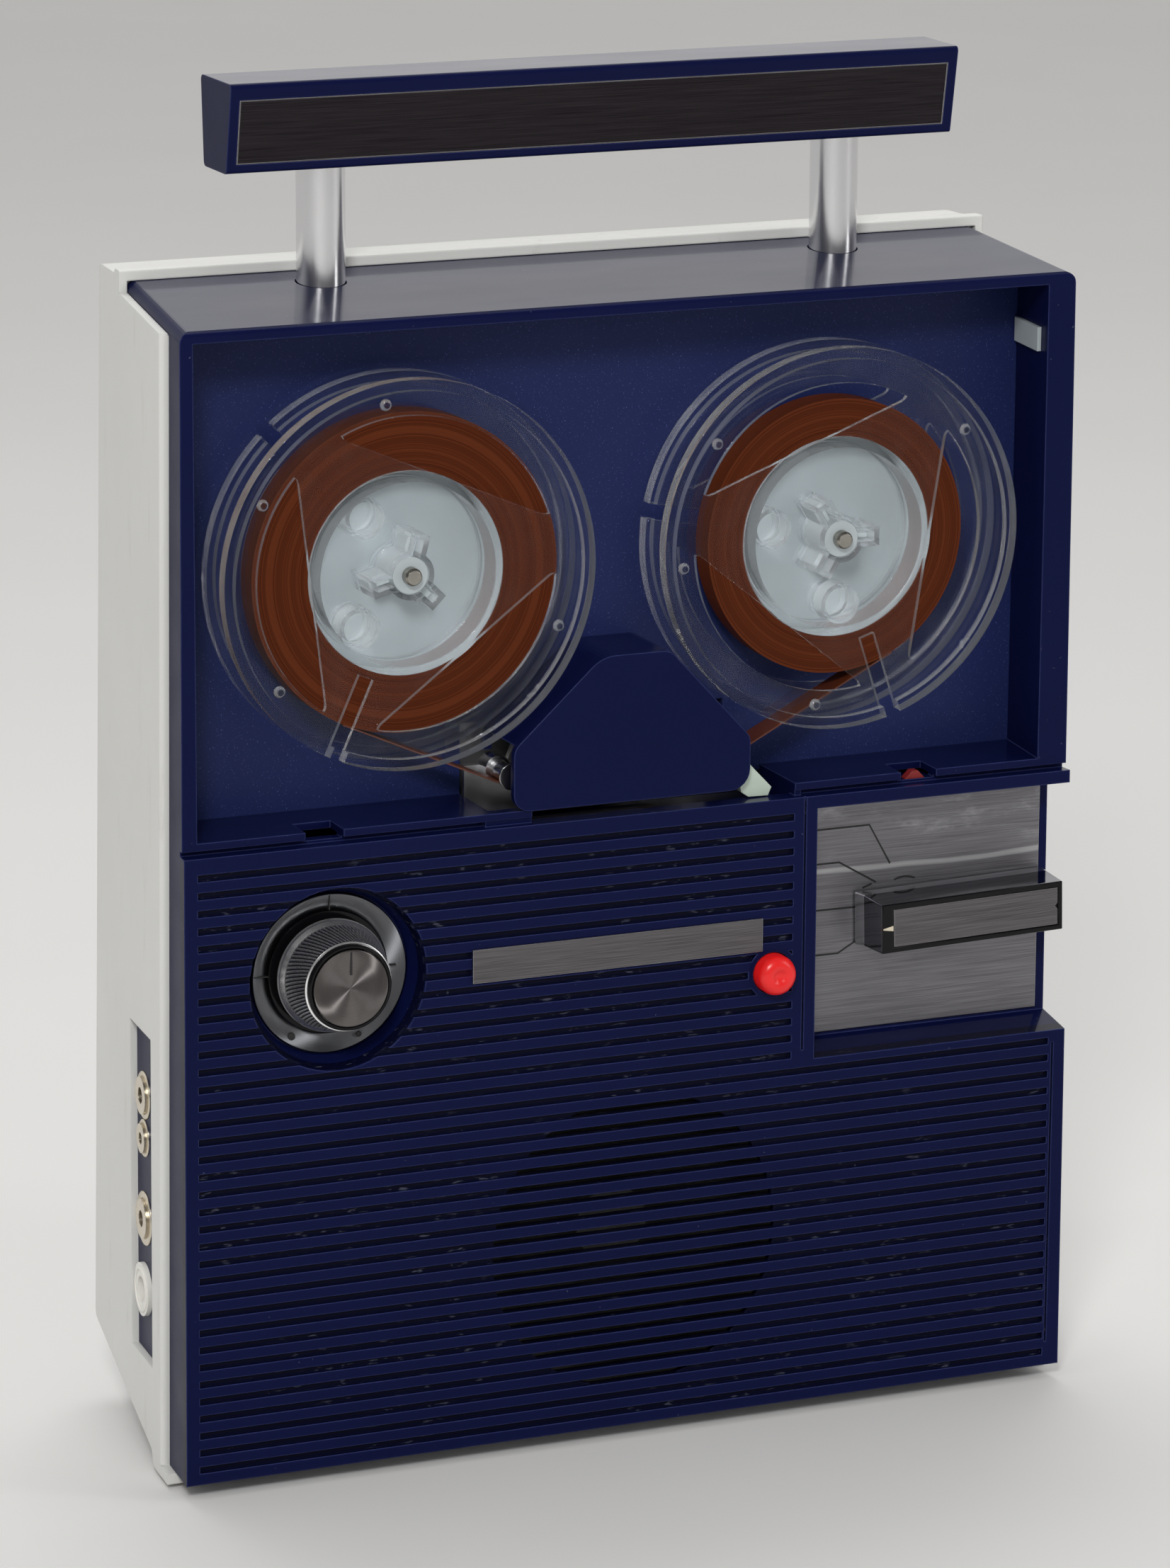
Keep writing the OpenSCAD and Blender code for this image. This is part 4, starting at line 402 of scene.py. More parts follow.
def knurled_metal():
    """Bright knurls with painted shade darkening the valleys between them, by the distance from the knob's
    tapering skirt.
    """
    f = Finish("knurled_skirt")
    height = f.along("Z")
    skirt = SKIRT_RADIUS - (height - SKIRT_LOW) * (SKIRT_TAPER / (SKIRT_HIGH - SKIRT_LOW))
    crest = (f.from_own_axis() - skirt).swell(-0.28, 0.0)
    on_skirt = (height > SKIRT_LOW) * (height < SKIRT_HIGH)
    tone = f.mix(f.noise(2, 3), (0.8, 0.8, 0.8), (0.94, 0.94, 0.94))
    # Painted shade: the valleys between the knurls are darkened.
    return f.surface(
        Base_Color=f.mix(on_skirt * (1 - crest), tone, (0.045, 0.045, 0.047)), Metallic=0.95,
        Roughness=0.2 + 0.1 * f.noise(3, 3), Normal=f.bump(f.noise(0.3, 2), 0.004, f.soft_edges(0.08)))


def loudspeaker_finish():
    """Dark paper cone in a painted frame, with a plated magnet behind it."""
    cone_radius, cone_back, frame_back = 33.6, 13.5, 17.4
    f = Finish("loudspeaker")
    radius = f.from_axis(LOUDSPEAKER)
    depth = f.behind_panel()
    paper = f.mix(f.noise(1.2, 3), (0.018, 0.017, 0.016), (0.045, 0.042, 0.04))
    paint = f.mix(f.noise(5, 3), (0.1, 0.1, 0.1), (0.16, 0.16, 0.155))
    plating = f.mix(f.noise(3, 3), (0.35, 0.35, 0.33), (0.5, 0.5, 0.48))
    on_cone = (depth < cone_back) * (radius < cone_radius)
    on_magnet = depth > frame_back
    return f.surface(
        Base_Color=f.mix(on_magnet, f.mix(on_cone, paint, paper), plating), Metallic=on_magnet * 0.9,
        Roughness=0.45 + 0.25 * f.noise(4, 3),
        Normal=f.bump(f.rings(radius, 1.4, 2.0), 0.1, f.soft_edges(0.4)))


def cell_jacket_finish():
    """Metal jackets of the battery cells, with a black band round one end of each."""
    right_band_start, left_band_start, left_band_end = 34, -30, -16
    f = Finish("cell_jacket")
    x = f.along("X")
    band = (x > right_band_start) + (x < left_band_end) * (x > left_band_start)
    base = f.mix(f.noise(6, 3), (0.42, 0.29, 0.1), (0.5, 0.36, 0.14))
    return f.surface(
        Base_Color=f.mix(band, base, (0.03, 0.03, 0.032)), Metallic=0.55,
        Roughness=0.28 + 0.2 * f.noise(5, 3), Normal=f.bump(f.noise(1.5, 2), 0.01, f.soft_edges(0.6)))


def circuit_board_finish():
    """Brown board with copper runs, and grey and blue components on its front."""
    components_back, run_density = 47.9, 0.16
    f = Finish("circuit_board")
    on_component = f.behind_panel() < components_back
    runs = f.node("TexVoronoi", {"distance": "MANHATTAN"}, {
        "Vector": f.stretched(f.place(), (run_density, 0, run_density)), "Scale": 1.0})
    board = f.mix(runs.swell(0.3, 0.36), (0.23, 0.11, 0.035), (0.32, 0.17, 0.06))
    component = f.mix(f.noise(9, 1).swell(0.4, 0.6), (0.5, 0.5, 0.52), (0.12, 0.2, 0.33))
    return f.surface(
        Base_Color=f.mix(on_component, board, component), Roughness=0.4 + 0.2 * f.noise(4, 3),
        Normal=f.bump(runs, 0.05, f.soft_edges(0.3)))


case_navy = navy_moulding("navy_ribbed_case", True)
navy = navy_moulding("navy_moulding", False)
deck_paint = speckled_deck_paint()
grey = grey_moulding()
clear = clear_moulding()
left_tape = wound_tape("tape_on_left_reel", LEFT_REEL)
right_tape = wound_tape("tape_on_right_reel", RIGHT_REEL)
dark_brushed = brushed_plate("dark_brushed_inlay", (0.032, 0.027, 0.031), (0.014, 0.011, 0.014), 0.36)
plate_metal = brushed_plate(
    "brushed_selector_plate", (0.24, 0.235, 0.252), (0.14, 0.134, 0.147), 0.36, with_painted_glare=True)
strip_metal = brushed_plate("brushed_name_plate", (0.17, 0.16, 0.167), (0.09, 0.084, 0.09), 0.34)
cap_metal = spun_metal("spun_cap", (0.27, 0.25, 0.245), (0.14, 0.127, 0.122), 0.47)
dial_metal = spun_metal("turned_dial", (0.26, 0.265, 0.28), (0.12, 0.123, 0.13), 0.42)
knurl_metal = knurled_metal()

chrome = plain_finish(
    "polished_plating", (0.86, 0.86, 0.87), (0.74, 0.74, 0.76), 0.12, 0.16, metallic=1.0, cloud=9,
    stretch=(1, 1, 4), relief=0.004, edge=0.3)
mirror = plain_finish(
    "dark_mirror", (0.24, 0.24, 0.26), (0.18, 0.18, 0.2), 0.05, 0.07, metallic=1.0, cloud=6,
    stretch=(3, 1, 1), grain=0.6, relief=0.002)
steel = plain_finish(
    "plain_steel", (0.55, 0.55, 0.56), (0.4, 0.4, 0.41), 0.3, 0.2, metallic=1.0, cloud=5,
    grain=0.4, relief=0.008)
pin_steel = plain_finish(
    "spindle_steel", (0.42, 0.4, 0.36), (0.28, 0.27, 0.24), 0.22, 0.15, metallic=1.0, cloud=2)
brass = plain_finish(
    "turned_brass", (0.72, 0.52, 0.24), (0.56, 0.38, 0.16), 0.22, 0.16, metallic=1.0, cloud=2)
nickel = plain_finish(
    "worn_nickel", (0.74, 0.68, 0.56), (0.58, 0.51, 0.4), 0.2, 0.2, metallic=1.0, cloud=1.6)
zinc = plain_finish(
    "turned_casting", (0.46, 0.46, 0.47), (0.34, 0.34, 0.35), 0.38, 0.2, metallic=0.9, cloud=5)
tape_strand = plain_finish(
    "tape_strand", (0.11, 0.026, 0.008), (0.06, 0.013, 0.004), 0.3, cloud=10, stretch=(5, 1, 1))
pale = plain_finish(
    "pale_turntable_plastic", (0.43, 0.475, 0.49), (0.34, 0.385, 0.4), 0.34, 0.12, cloud=14)
pinch_green = plain_finish("pale_pinch_plastic", (0.5, 0.58, 0.5), (0.38, 0.45, 0.38), 0.35, cloud=4)
dark_plastic = plain_finish("dark_plastic", (0.05, 0.05, 0.055), (0.03, 0.03, 0.034), 0.45, 0.15)
black_gloss = plain_finish(
    "black_gloss_trim", (0.005, 0.005, 0.006), (0.0025, 0.0025, 0.003), 0.1, 0.08, cloud=4,
    relief=0.002, specular=0.18)
red = plain_finish("red_button_plastic", (0.82, 0.012, 0.012), (0.68, 0.008, 0.008), 0.24, 0.12, cloud=3)
tab_red = plain_finish("shaded_red_tab", (0.24, 0.012, 0.01), (0.16, 0.008, 0.007), 0.4, 0.12, cloud=3)
white = plain_finish("white_plastic", (0.78, 0.77, 0.72), (0.68, 0.67, 0.62), 0.3, 0.12, cloud=4)
rubber = plain_finish(
    "black_rubber", (0.035, 0.035, 0.037), (0.02, 0.02, 0.022), 0.65, 0.2, cloud=3, grain=0.4, relief=0.03)
felt = plain_finish(
    "felt_pad", (0.66, 0.6, 0.46), (0.46, 0.4, 0.28), 0.85, cloud=1.5, grain=0.25, relief=0.12)
printed = plain_finish("black_printed_line", (0.012, 0.012, 0.012), (0.006, 0.006, 0.006), 0.4, cloud=2)
ivory = plain_finish("ivory_paint", (0.6, 0.54, 0.42), (0.5, 0.44, 0.33), 0.4, cloud=1)

NODE_FINISHES = {
    "front_case": case_navy, "back_shell": grey, "deck_plate": deck_paint, "chassis_plate": steel,
    "case_screws": steel, "feet": rubber, "battery_tray": dark_plastic, "battery_contacts": steel,
    "battery_cells": cell_jacket_finish(), "battery_door": grey, "handle_grip": navy,
    "handle_inlay": dark_brushed, "handle_posts": chrome, "post_sleeves": dark_plastic,
    "left_turntable": pale, "right_turntable": pale, "left_spindle": pin_steel, "right_spindle": pin_steel,
    "bearing_bushes": brass, "left_reel": clear, "right_reel": clear, "left_tape_pack": left_tape,
    "right_tape_pack": right_tape, "tape_run": tape_strand, "head_cover": navy, "head_bracket": steel,
    "record_play_head": chrome, "erase_head": white, "pressure_pads": felt, "tape_guides": chrome,
    "pinch_arm": pinch_green, "pinch_roller": rubber, "capstan": chrome, "flywheel": zinc, "motor": steel,
    "motor_pulley": brass, "drive_bracket": steel, "drive_belt": rubber, "takeup_pulley": zinc,
    "takeup_belt": rubber, "volume_pot": steel, "record_spring": steel, "name_plate": strip_metal,
    "selector_plate": plate_metal, "selector_switch": dark_plastic, "jack_plate": navy,
    "jack_sockets": nickel, "power_inlet": white, "lid_catch": pale, "notch_tab": tab_red,
    "speaker": loudspeaker_finish(), "circuit_board": circuit_board_finish(),
    "volume_dial": dial_metal, "volume_knob": knurl_metal, "volume_cap": cap_metal, "record_button": red,
    "selector_knob": mirror, "selector_inlay": strip_metal,
}


def dress_nodes():
    """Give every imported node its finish."""
    for name, finish in NODE_FINISHES.items():
        node = bpy.data.objects[name]
        if not node.material_slots:
            node.data.materials.append(None)
        for slot in node.material_slots:
            slot.link = "OBJECT"
            slot.material = finish


# Small pieces

def add_piece(name, mesh, finishes, body, place):
    """Put a finished mesh on the recorder, riding on a body."""
    piece = bpy.data.objects.new(name, mesh)
    bpy.context.scene.collection.objects.link(piece)
    piece.matrix_world = place
    for finish in finishes:
        mesh.materials.append(finish)
    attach(piece, body)
    return piece


def rotation(angle, axis):
    return Matrix.Rotation(angle, 4, axis)


def facing_front(x, z, turn=0.0):
    """Place on the panel's face whose own x runs right, own y up and own z out of the front."""
    return Matrix.Translation(at(x, 0, z)) @ rotation(math.pi / 2, "X") @ rotation(turn, "Z")


def on_circle(radius, angle):
    """The point (x, y) at this radius and angle, in radians."""
    return radius * math.cos(angle), radius * math.sin(angle)


def join_loops(shape, near, far):
    """Faces between two loops of points; a loop of one point is a tip."""
    faces = []
    for i in range(max(len(near), len(far))):
        corners = [
            near[i % len(near)], near[(i + 1) % len(near)], far[(i + 1) % len(far)], far[i % len(far)]]
        faces.append(shape.faces.new(list(dict.fromkeys(corners))))
    return faces


def join_all(shape, loops, capped=True):
    """Faces between each loop and the next, and over the first and the last."""
    for near, far in zip(loops, loops[1:]):
        join_loops(shape, near, far)
    if capped:
        shape.faces.new(loops[0][::-1])
        shape.faces.new(loops[-1])


def finish_mesh(name, shape, smooth_angle=35):
    """Turn a shape in millimetres into a mesh in metres, smooth except at its sharp edges."""
    bmesh.ops.remove_doubles(shape, verts=shape.verts, dist=1e-5)
    bmesh.ops.recalc_face_normals(shape, faces=shape.faces)
    bmesh.ops.scale(shape, vec=(MM, MM, MM), verts=shape.verts)
    for face in shape.faces:
        face.smooth = True
    for edge in shape.edges:
        if len(edge.link_faces) == 2 and edge.calc_face_angle() > math.radians(smooth_angle):
            edge.smooth = False
    mesh = bpy.data.meshes.new(name)
    shape.to_mesh(mesh)
    shape.free()
    return mesh


def turned_mesh(name, profile, steps=96, relief=None):
    """A body turned about z from (radius, height) points; relief(height, angle) adds to the radius."""
    shape = bmesh.new()
    loops = []
    for radius, height in profile:
        if radius == 0:
            loops.append([shape.verts.new((0, 0, height))])
            continue
        loop = []
        for i in range(steps):
            angle = 2 * math.pi * i / steps
            r = radius + (relief(height, angle) if relief else 0)
            loop.append(shape.verts.new((*on_circle(r, angle), height)))
        loops.append(loop)
    join_all(shape, loops, capped=False)
    return finish_mesh(name, shape)


def slab_mesh(name, outline, low, high, edge=0.0):
    """A flat slab with this outline from height low to high, its upper edge cut back by edge."""
    shape = bmesh.new()
    middle = sum((Vector(p) for p in outline), Vector((0, 0))) / len(outline)

    def loop(height, inset):
        points = [Vector(p) + (middle - Vector(p)).normalized() * inset for p in outline]
        return [shape.verts.new((*p, height)) for p in points]

    loops = [loop(low, 0)]
    if edge:
        loops.append(loop(high - edge, 0))
    loops.append(loop(high, edge))
    join_all(shape, loops)
    return finish_mesh(name, shape)


def line_mesh(name, lines, width, low, high):
    """Flat printed lines through lists of points, from height low to high."""
    shape = bmesh.new()
    for points in lines:
        path = [Vector(p) for p in points]
        loops = []
        for i, point in enumerate(path):
            run = (path[min(i + 1, len(path) - 1)] - path[max(i - 1, 0)]).normalized()
            across = Vector((-run.y, run.x)) * width / 2
            a, b = point + across, point - across
            loops.append([
                shape.verts.new((p.x, p.y, h)) for p, h in ((a, low), (a, high), (b, high), (b, low))])
        join_all(shape, loops)
    return finish_mesh(name, shape, 25)


def rectangle_loop(shape, rectangle, height):
    """The four corners of a rectangle (x0, x1, y0, y1) at this height."""
    x0, x1, y0, y1 = rectangle
    return [shape.verts.new((x, y, height)) for x, y in ((x0, y0), (x1, y0), (x1, y1), (x0, y1))]


def frame_mesh(name, outer, inner, low, high):
    """A rectangular frame between two rectangles, from height low to high."""
    shape = bmesh.new()
    loops = [rectangle_loop(shape, *at_height) for at_height in (
        (outer, low), (outer, high), (inner, high), (inner, low))]
    join_all(shape, [*loops, loops[0]], capped=False)
    return finish_mesh(name, shape)


def rounded_corners(piece, width, segments=2):
    """Round the sharp edges of a piece."""
    edge = piece.modifiers.new("edge", "BEVEL")
    edge.width = width * MM
    edge.segments = segments
    edge.limit_method = "ANGLE"
    edge.angle_limit = math.radians(30)


VOLUME_PLACE = facing_front(*VOLUME)


def volume_dial():
    """Turned ring round the knob."""
    ring = turned_mesh("dial", [
        (DIAL_INNER, DIAL_BASE), (DIAL_INNER, -6.3), (13.4, -6.22), (16.7, -5.28), (17.05, -5.22),
        (17.28, -5.45), (DIAL_OUTER, DIAL_BASE), (DIAL_INNER, DIAL_BASE)], 128)
    ring = add_piece("volume_dial_ring", ring, [dial_metal], "case", VOLUME_PLACE)
    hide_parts("volume_dial")


def knurl(height, angle):
    """How far a knurl stands out of the knob's skirt; where it is negative, the valley between two."""
    lean_per_mm, valley_share = 0.035, 0.9
    if not SKIRT_LOW < height < SKIRT_HIGH:
        return 0
    lean = (height - SKIRT_LOW) * lean_per_mm
    return KNURL_DEPTH * (abs(math.sin(KNURLS / 2 * (angle + lean))) - valley_share)


def volume_knob():
    """Knurled knob with its black nose ring and spun cap."""
    levels, step = 12, 0.02
    low, high = SKIRT_LOW + step, SKIRT_HIGH - step
    skirt = [
        (SKIRT_RADIUS - SKIRT_TAPER * i / levels, low + (high - low) * i / levels) for i in range(levels + 1)]
    knob = turned_mesh("knob", [
        (0, -19.5), (3, -19.5), (3, -4.3), (12.0, -4.3), (12.2, -4.1), (12.2, -3.3), (12.0, -2.9),
        (11.2, -2.3), (11.05, SKIRT_LOW - step), *skirt, (9.5, SKIRT_HIGH + step),
        (9.62, 5.3), (9.62, 5.6), (9.3, 5.75), (8.45, 5.8), (8.4, 6.2), (0, 6.2)], KNURLS * 6, knurl)
    knob = add_piece("volume_knob_knurled", knob, [knurl_metal], "volume", VOLUME_PLACE)
    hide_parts("volume_knob")

    ring = turned_mesh("ring", [
        (8.43, 6.21), (8.43, 6.75), (8.6, 6.9), (8.95, 6.88), (9.25, 6.55), (9.3, 5.8), (8.43, 5.81),
        (8.43, 6.21)], 128)
    add_piece("volume_knob_ring", ring, [black_gloss], "volume", VOLUME_PLACE)

    cap = turned_mesh("cap", [
        (0, 6.22), (8.35, 6.22), (8.37, 6.95), (8.2, 7.22), (7.9, 7.3), (6, 7.2), (3, 7.08), (1, 7.02),
        (0, 7.0)], 128)
    cap = add_piece("volume_knob_cap", cap, [cap_metal], "volume", VOLUME_PLACE)
    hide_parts("volume_cap")


def volume_gap_shade():
    """Black sheet under the knob, inside the dial: painted shade in the gap between knob and dial."""
    # Painted shade: a black sheet where the gap lies in shade.
    top, hole, edge = DIAL_BASE + 0.06, 4.7, DIAL_INNER - 0.05
    floor = turned_mesh("floor", [
        (hole, DIAL_BASE), (hole, top), (edge, top), (edge, DIAL_BASE), (hole, DIAL_BASE)])
    add_piece("volume_dial_gap_shade", floor, [black_gloss], "case", VOLUME_PLACE)


def volume_pointer():
    """Printed line on the knob's cap."""
    half_width, start, end = 0.22, 2.9, 7.85
    pointer = slab_mesh("pointer", [
        (-half_width, start), (half_width, start), (half_width, end), (-half_width, end)], 7.0, 7.31)
    add_piece("volume_pointer", pointer, [printed], "volume", VOLUME_PLACE)


def volume_marks():
    """Three ticks and two dots on the dial."""
    tick_start, long_tick, short_tick, tick_width = 13.7, 16.9, 14.9, 0.28
    dots_radius, top, dot_top = 15.4, -5.2, -5.17
    ticks = [
        [on_circle(radius, angle) for radius in (tick_start, tick_end)]
        for angle, tick_end in ((math.pi / 2, long_tick), (math.pi * 0.985, long_tick), (0.02, short_tick))]
    marks = line_mesh("marks", ticks, tick_width, -6.3, top)
    add_piece("volume_marks", marks, [printed], "case", VOLUME_PLACE)
    for name, angle, size in (("left", 236, 0.8), ("right", 295, 0.6)):
        dot = turned_mesh("dot", [
            (0, -5.5), (size, -5.5), (size, top), (size - 0.1, dot_top), (0, dot_top)], 32)
        x, y = on_circle(dots_radius * MM, math.radians(angle))
        place = VOLUME_PLACE @ Matrix.Translation((x, y, 0))
        add_piece("volume_dot_" + name, dot, [printed], "case", place)


def selector_bar():
    """Mirror-bright bar with a black face frame, its brushed inlay and pale pointer, on its shaft."""
    half_length, half_height = 21.85, 5.45
    face, pocket_depth, shoulder_height, back = 3.0, 0.55, -5.2, -8.1
    shoulder, flare, left_flare = 0.3, 0.5, 1.3
    pocket = (-19.05, 20.85, -4.3, 4.2)
    place = facing_front(*SELECTOR, SELECTOR_TURN)

    def grown(left, around):
        return (-half_length - left, half_length + around, -half_height - around, half_height + around)

    shape = bmesh.new()
    loops = [rectangle_loop(shape, *at_height) for at_height in (
        (grown(left_flare, flare), back), (grown(shoulder, shoulder), shoulder_height),
        (grown(0, 0), face), (pocket, face), (pocket, face - pocket_depth))]
    for level, (near, far) in enumerate(zip(loops, loops[1:])):
        for side in join_loops(shape, near, far):
            side.material_index = min(level, 2)
    shape.faces.new(loops[0][::-1])
    shape.faces.new(loops[-1]).material_index = 2
    bar = add_piece(
        "selector_bar", finish_mesh("bar", shape), [chrome, mirror, black_gloss], "selector",
        place)
    rounded_corners(bar, 0.3, 3)
    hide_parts("selector_knob")

    shaft = turned_mesh("shaft", [(0, -21), (2.7, -21), (3, -20.7), (3, -8.0), (0, -8.0)], 48)
    add_piece("selector_shaft", shaft, [steel], "selector", place)

    gap, notch_depth, notch_half = 0.1, 0.65, 0.7
    x0, x1, y0, y1 = pocket
    right = x1 - gap
    inlay = slab_mesh("inlay", [
        (x0 + gap, y0 + gap), (right, y0 + gap), (right, -notch_half), (right - notch_depth, 0.0),
        (right, notch_half), (right, y1 - gap), (x0 + gap, y1 - gap)], face - 0.5, face - 0.08, 0.14)
    inlay = add_piece("selector_bar_inlay", inlay, [strip_metal], "selector", place)
    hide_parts("selector_inlay")

    pointer = slab_mesh("pointer", [
        (-21.5, -0.15), (-19.1, -0.6), (-19.1, 0.6), (-21.5, 0.15)], face - 0.3, face + 0.04, 0.03)
    add_piece("selector_pointer", pointer, [ivory], "selector", place)


def selector_leaders():
    """Printed lines on the selector plate that lead to the bar's places."""
    width, low, high = 0.42, -8.52, -8.46
    lines = [
        [(42.6, 129.7), (58.1, 129.7), (63.2, 120.6)],
        [(42.6, 122.0), (51.0, 122.0), (59.9, 116.7)],
        [(42.6, 111.7), (55.0, 111.6)],
        [(42.6, 101.6), (51.0, 101.6), (55.9, 104.3)],
        [(64.3, 116.8), (65.5, 117.15), (66.6, 117.3), (67.8, 117.2), (69.3, 116.75)],
        [(56.7, 115.7), (58.9, 116.45)],
        [(58.8, 113.6), (59.9, 114.6)]]
    mesh = line_mesh("leaders", lines, width, low, high)
    add_piece("selector_leaders", mesh, [printed], "case", facing_front(0, 0))


def record_button():
    """Domed red button with a small dimple, on its stem."""
    profile = [
        (0, 3.3), (0.7, 3.32), (1.15, 3.5), (1.5, 3.8), (2.1, 3.97), (2.9, 3.88), (3.6, 3.5), (4.15, 2.9),
        (4.4, 2.1), (4.4, -2.8), (5.4, -2.8), (5.4, -4.0), (1.4, -4.0), (1.4, -20.5), (0, -20.5)]
    button = add_piece(
        "record_button_dome", turned_mesh("button", profile, 64), [red], "button",
        facing_front(*BUTTON))
    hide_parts("record_button")


def record_spring():
    """Coil spring behind the button, its end turns closed."""
    radius, wire, turns = 2.6, 0.3, 9
    steps_per_turn, wire_sides = 28, 8
    closed_pitch = 2 * wire + 0.02
    length = SPRING_BACK - SPRING_FRONT
    open_pitch = (length - 2 * wire - 2 * closed_pitch) / (turns - 2)
    shape = bmesh.new()
    loops = []
    for i in range(turns * steps_per_turn + 1):
        turn = i / steps_per_turn
        closed_turns = min(turn, 1) + max(turn - turns + 1, 0)
        open_turns = min(max(turn - 1, 0), turns - 2)
        middle = -SPRING_FRONT - wire - closed_pitch * closed_turns - open_pitch * open_turns
        loop = []
        for j in range(wire_sides):
            out, up = on_circle(wire, 2 * math.pi * j / wire_sides)
            loop.append(shape.verts.new((*on_circle(radius + out, 2 * math.pi * turn), middle + up)))
        loops.append(loop)
    join_all(shape, loops)
    x, z = BUTTON
    spring = add_piece(
        "record_button_spring", finish_mesh("spring", shape, 60), [steel], "case",
        facing_front(x, z))
    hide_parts("record_spring")
    tuple(at(x, SPRING_BACK, z))
    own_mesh(spring)


def socket_rings():
    """Washers under the three socket bushes and a ring round the power inlet."""
    half_width = (
        CASE_HALF_WIDTH + RIM_PROUD - JACK_Y * math.tan(SIDE_TAPER)
        - (JACK_Z - FRONT_BOTTOM_Z) * math.tan(SIDE_LEAN))
    side = (
        Matrix.Translation(at(-half_width, JACK_Y, JACK_Z)) @ rotation(-SIDE_TAPER, "Z")
        @ rotation(SIDE_LEAN, "Y"))
    for name, along, inner, outer, base, rise, finish in (
            ("microphone", 20.9, 4.07, 5.2, -1.5, 0.4, nickel),
            ("remote", 11.4, 3.22, 4.1, -1.5, 0.4, nickel),
            ("earphone", -6.5, 4.32, 5.9, -1.5, 0.4, nickel),
            ("power", -22.3, 4.2, 5.0, -0.52, 0.3, white)):
        ring = turned_mesh("washer", [
            (inner, base), (inner, base + rise * 0.6), (inner + 0.15, base + rise),
            (outer - 0.25, base + rise), (outer, base + rise * 0.5), (outer, base), (inner, base)], 64)
        middle = Matrix.Translation((0, SOCKETS_BEHIND * MM, along * MM))
        place = side @ middle @ rotation(-math.pi / 2, "Y")
        add_piece(name + "_socket_ring", ring, [finish], "case", place)


def grip_trim():
    """Thin bright line round the dark strip on the grip."""
    line, clearance = 0.25, 0.05
    lean = math.atan2(GRIP_LOW_Y - GRIP_TOP_Y, GRIP_HEIGHT)
    place = (
        Matrix.Translation(at(0, GRIP_LOW_Y, GRIP_LOW_Z)) @ rotation(lean, "X")
        @ rotation(math.pi / 2, "X"))

    def strip_inset(inset):
        reach = STRIP_HALF_LENGTH - inset
        return -reach, reach, STRIP_LOW + inset, STRIP_LOW + STRIP_HEIGHT - inset

    mesh = frame_mesh("trim", strip_inset(clearance), strip_inset(clearance + line), -0.2, 0.06)
    add_piece("grip_trim", mesh, [strip_metal], "handle", place)


def reel_bumps():
    """Small moulded bumps on the front flanges, near the rims."""
    from_middle = 36.4
    profile = [(0, -5.7), (1.25, -5.7), (1.2, -5.35), (0.95, -4.95), (0.5, -4.75), (0, -4.7)]
    for side, (x, z), angles in (
            ("left", LEFT_REEL, (98, 152, 218, 338)), ("right", RIGHT_REEL, (36, 142, 186, 262))):
        for i, angle in enumerate(angles):
            right, up = on_circle(from_middle, math.radians(angle))
            add_piece(
                f"{side}_reel_bump_{i}", turned_mesh("bump", profile, 24), [clear], side + "_table",
                facing_front(x + right, z + up))


def door_ridges():
    """Finger ridges along the battery door's lower edge."""
    count, first, pitch, half_length, half_width = 6, -7.5, 2.2, 15, 0.6
    foot, top, slope = -0.3, 0.6, 0.35
    place = (
        Matrix.Translation(at(0, BACK_LOW_Y, BACK_LOW_Z)) @ rotation(BACK_TILT, "X")
        @ rotation(-math.pi / 2, "X"))
    for i in range(count):
        low, high = first - pitch * i - half_width, first - pitch * i + half_width
        outline = [(-half_length, low), (half_length, low), (half_length, high), (-half_length, high)]
        ridge = slab_mesh("ridge", outline, foot, top, slope)
        rounded_corners(add_piece(f"door_ridge_{i}", ridge, [grey], "door", place), 0.2)


# Floor, light and camera

def lamp(name, place, aim, size, power):
    """An area lamp: one size makes a disc, two a rectangle."""
    data = bpy.data.lights.new(name, "AREA")
    if isinstance(size, float):
        data.shape = "DISK"
        data.size = size
    else:
        data.shape = "RECTANGLE"
        data.size, data.size_y = size
    data.energy = power
    light = bpy.data.objects.new(name, data)
    light.location = place
    light.rotation_euler = (Vector(aim) - Vector(place)).to_track_quat("-Z", "Y").to_euler()
    bpy.context.scene.collection.objects.link(light)


def lights():
    lamp("key_softbox", (-0.75, -1.35, 1.15), (0, 0, 0.14), 0.34, 15.0)
    lamp("fill_softbox", (1.2, -0.9, 0.7), (0, 0, 0.14), (0.3, 0.9), 3.5)
    lamp("top_softbox", (0.1, 0.5, 1.4), (0, 0, 0.2), (0.9, 0.5), 6.0)


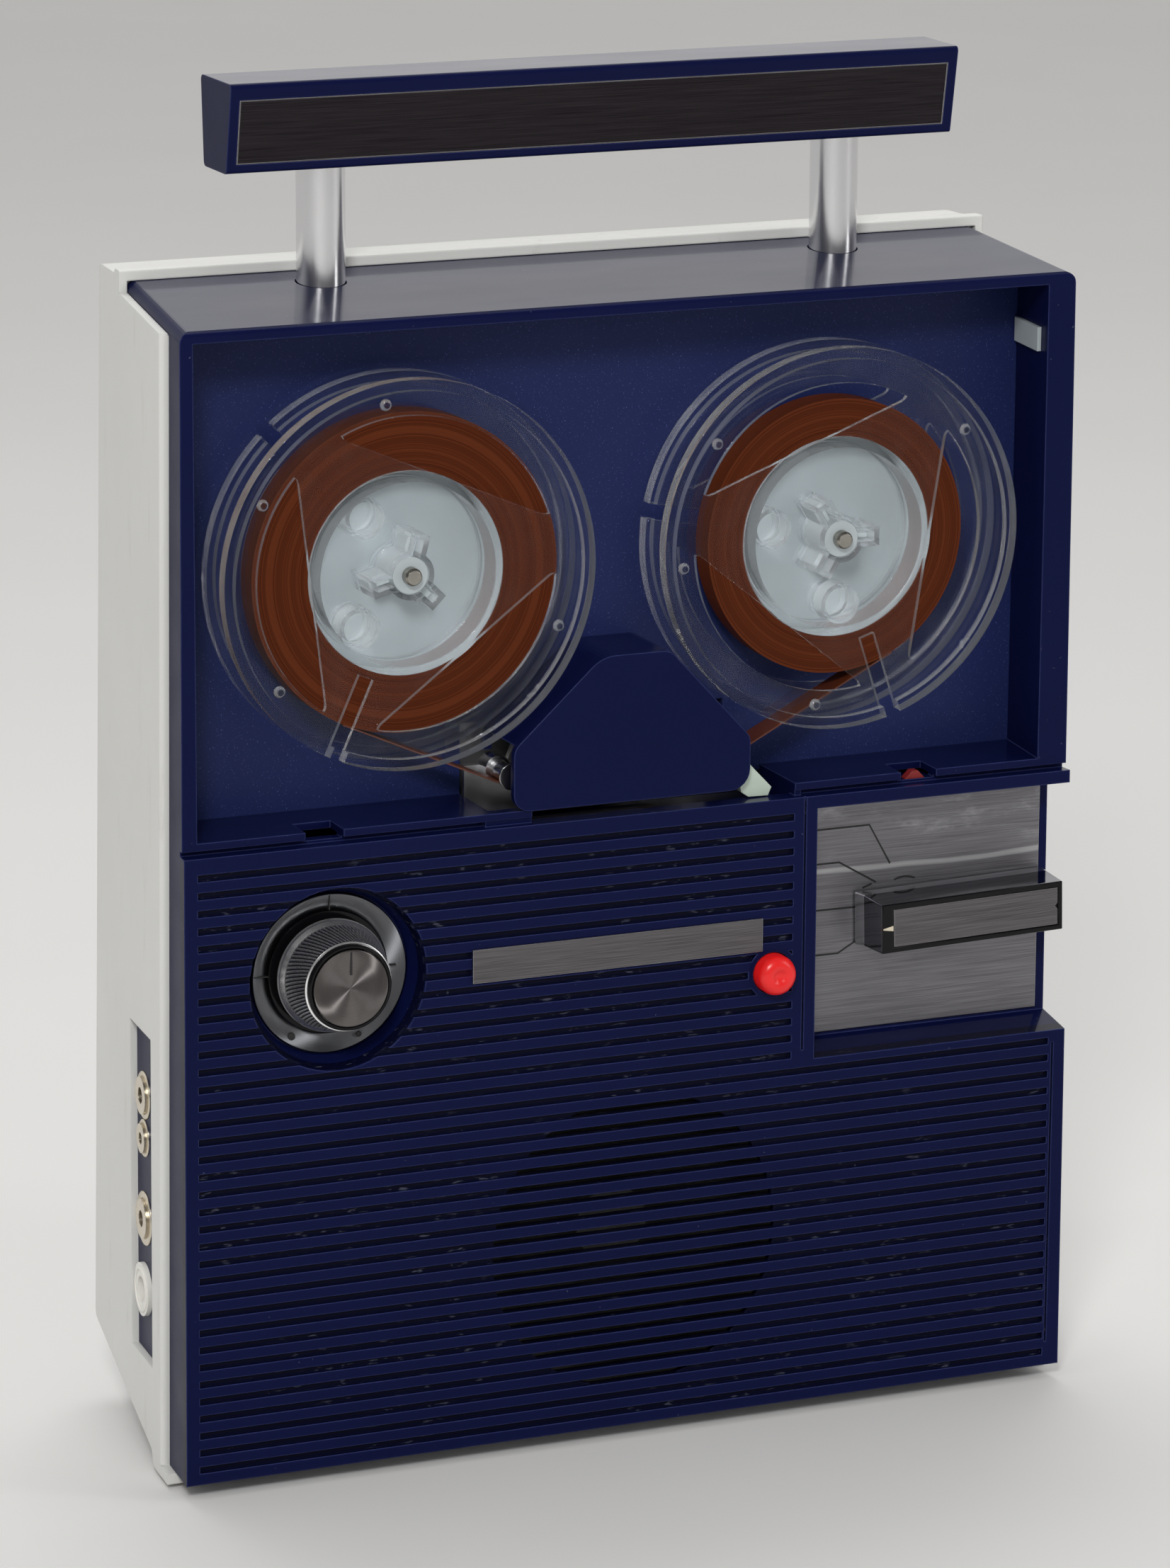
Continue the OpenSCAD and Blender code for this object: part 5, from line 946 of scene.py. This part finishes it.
def pale_floor():
    """A wide pale disc under the recorder."""
    floor_radius = 9.0
    f = Finish("pale_floor")
    colour = f.mix(f.noise(180, 3), (0.66, 0.655, 0.645), (0.7, 0.695, 0.685))
    material = f.surface(Base_Color=colour, Roughness=0.6 + 0.1 * f.noise(40, 2), Specular_IOR_Level=0.2)
    shape = bmesh.new()
    bmesh.ops.create_circle(shape, cap_ends=True, radius=floor_radius / MM, segments=96)
    mesh = finish_mesh("floor", shape)
    mesh.materials.append(material)
    floor = bpy.data.objects.new("floor", mesh)
    bpy.context.scene.collection.objects.link(floor)


def soft_world():
    """Pale surroundings to the eye and in reflections, and an even light from all sides."""
    world = bpy.data.worlds.new("studio")
    bpy.context.scene.world = world
    tree = NodeTree(world)
    camera_ray, glossy_ray, transmission_ray = (
        tree.node("LightPath", out=f"Is {kind} Ray") for kind in ("Camera", "Glossy", "Transmission"))
    seen = camera_ray.or_larger(glossy_ray).or_larger(transmission_ray)
    backward = tree.node("SeparateXYZ", None, {0: tree.node("TexCoord", out="Generated")}, out="Y")
    brightness = tree.node(
        "MapRange", {"interpolation_type": "SMOOTHSTEP"},
        {"Value": backward, "From Min": -0.3, "From Max": 0.6, "To Min": 0.1, "To Max": 0.86})
    surroundings = tree.node("Background", None, {"Color": (1.0, 0.995, 0.985, 1), "Strength": brightness})
    fill = tree.node("Background", None, {"Color": (1.0, 0.99, 0.98, 1), "Strength": 0.62})
    either = tree.node("MixShader", None, {0: seen, 1: fill, 2: surroundings})
    tree.node("OutputWorld", None, {"Surface": either})


def camera():
    """The photograph's view; its focal length and its axis are in the photograph's pixels."""
    focal_length, photo_width, axis_above_middle = 9002.1, 1652, 4
    sensor_width = 36.0
    place, degrees = (-0.5286, -1.22489, 0.4789), (75.7122, -0.3603, -23.315)
    data = bpy.data.cameras.new("photo_view")
    data.sensor_fit = "HORIZONTAL"
    data.sensor_width = sensor_width
    data.lens = sensor_width * focal_length / photo_width
    data.shift_y = -axis_above_middle / photo_width
    data.clip_end = 50
    eye = bpy.data.objects.new("photo_view", data)
    eye.location = place
    eye.rotation_euler = [math.radians(angle) for angle in degrees]
    bpy.context.scene.collection.objects.link(eye)
    bpy.context.scene.camera = eye


dress_nodes()
volume_dial()
volume_knob()
volume_gap_shade()
volume_pointer()
volume_marks()
selector_bar()
selector_leaders()
record_button()
record_spring()
socket_rings()
grip_trim()
reel_bumps()
door_ridges()
pale_floor()
soft_world()
lights()
camera()
bpy.context.scene.view_settings.view_transform = "Standard"
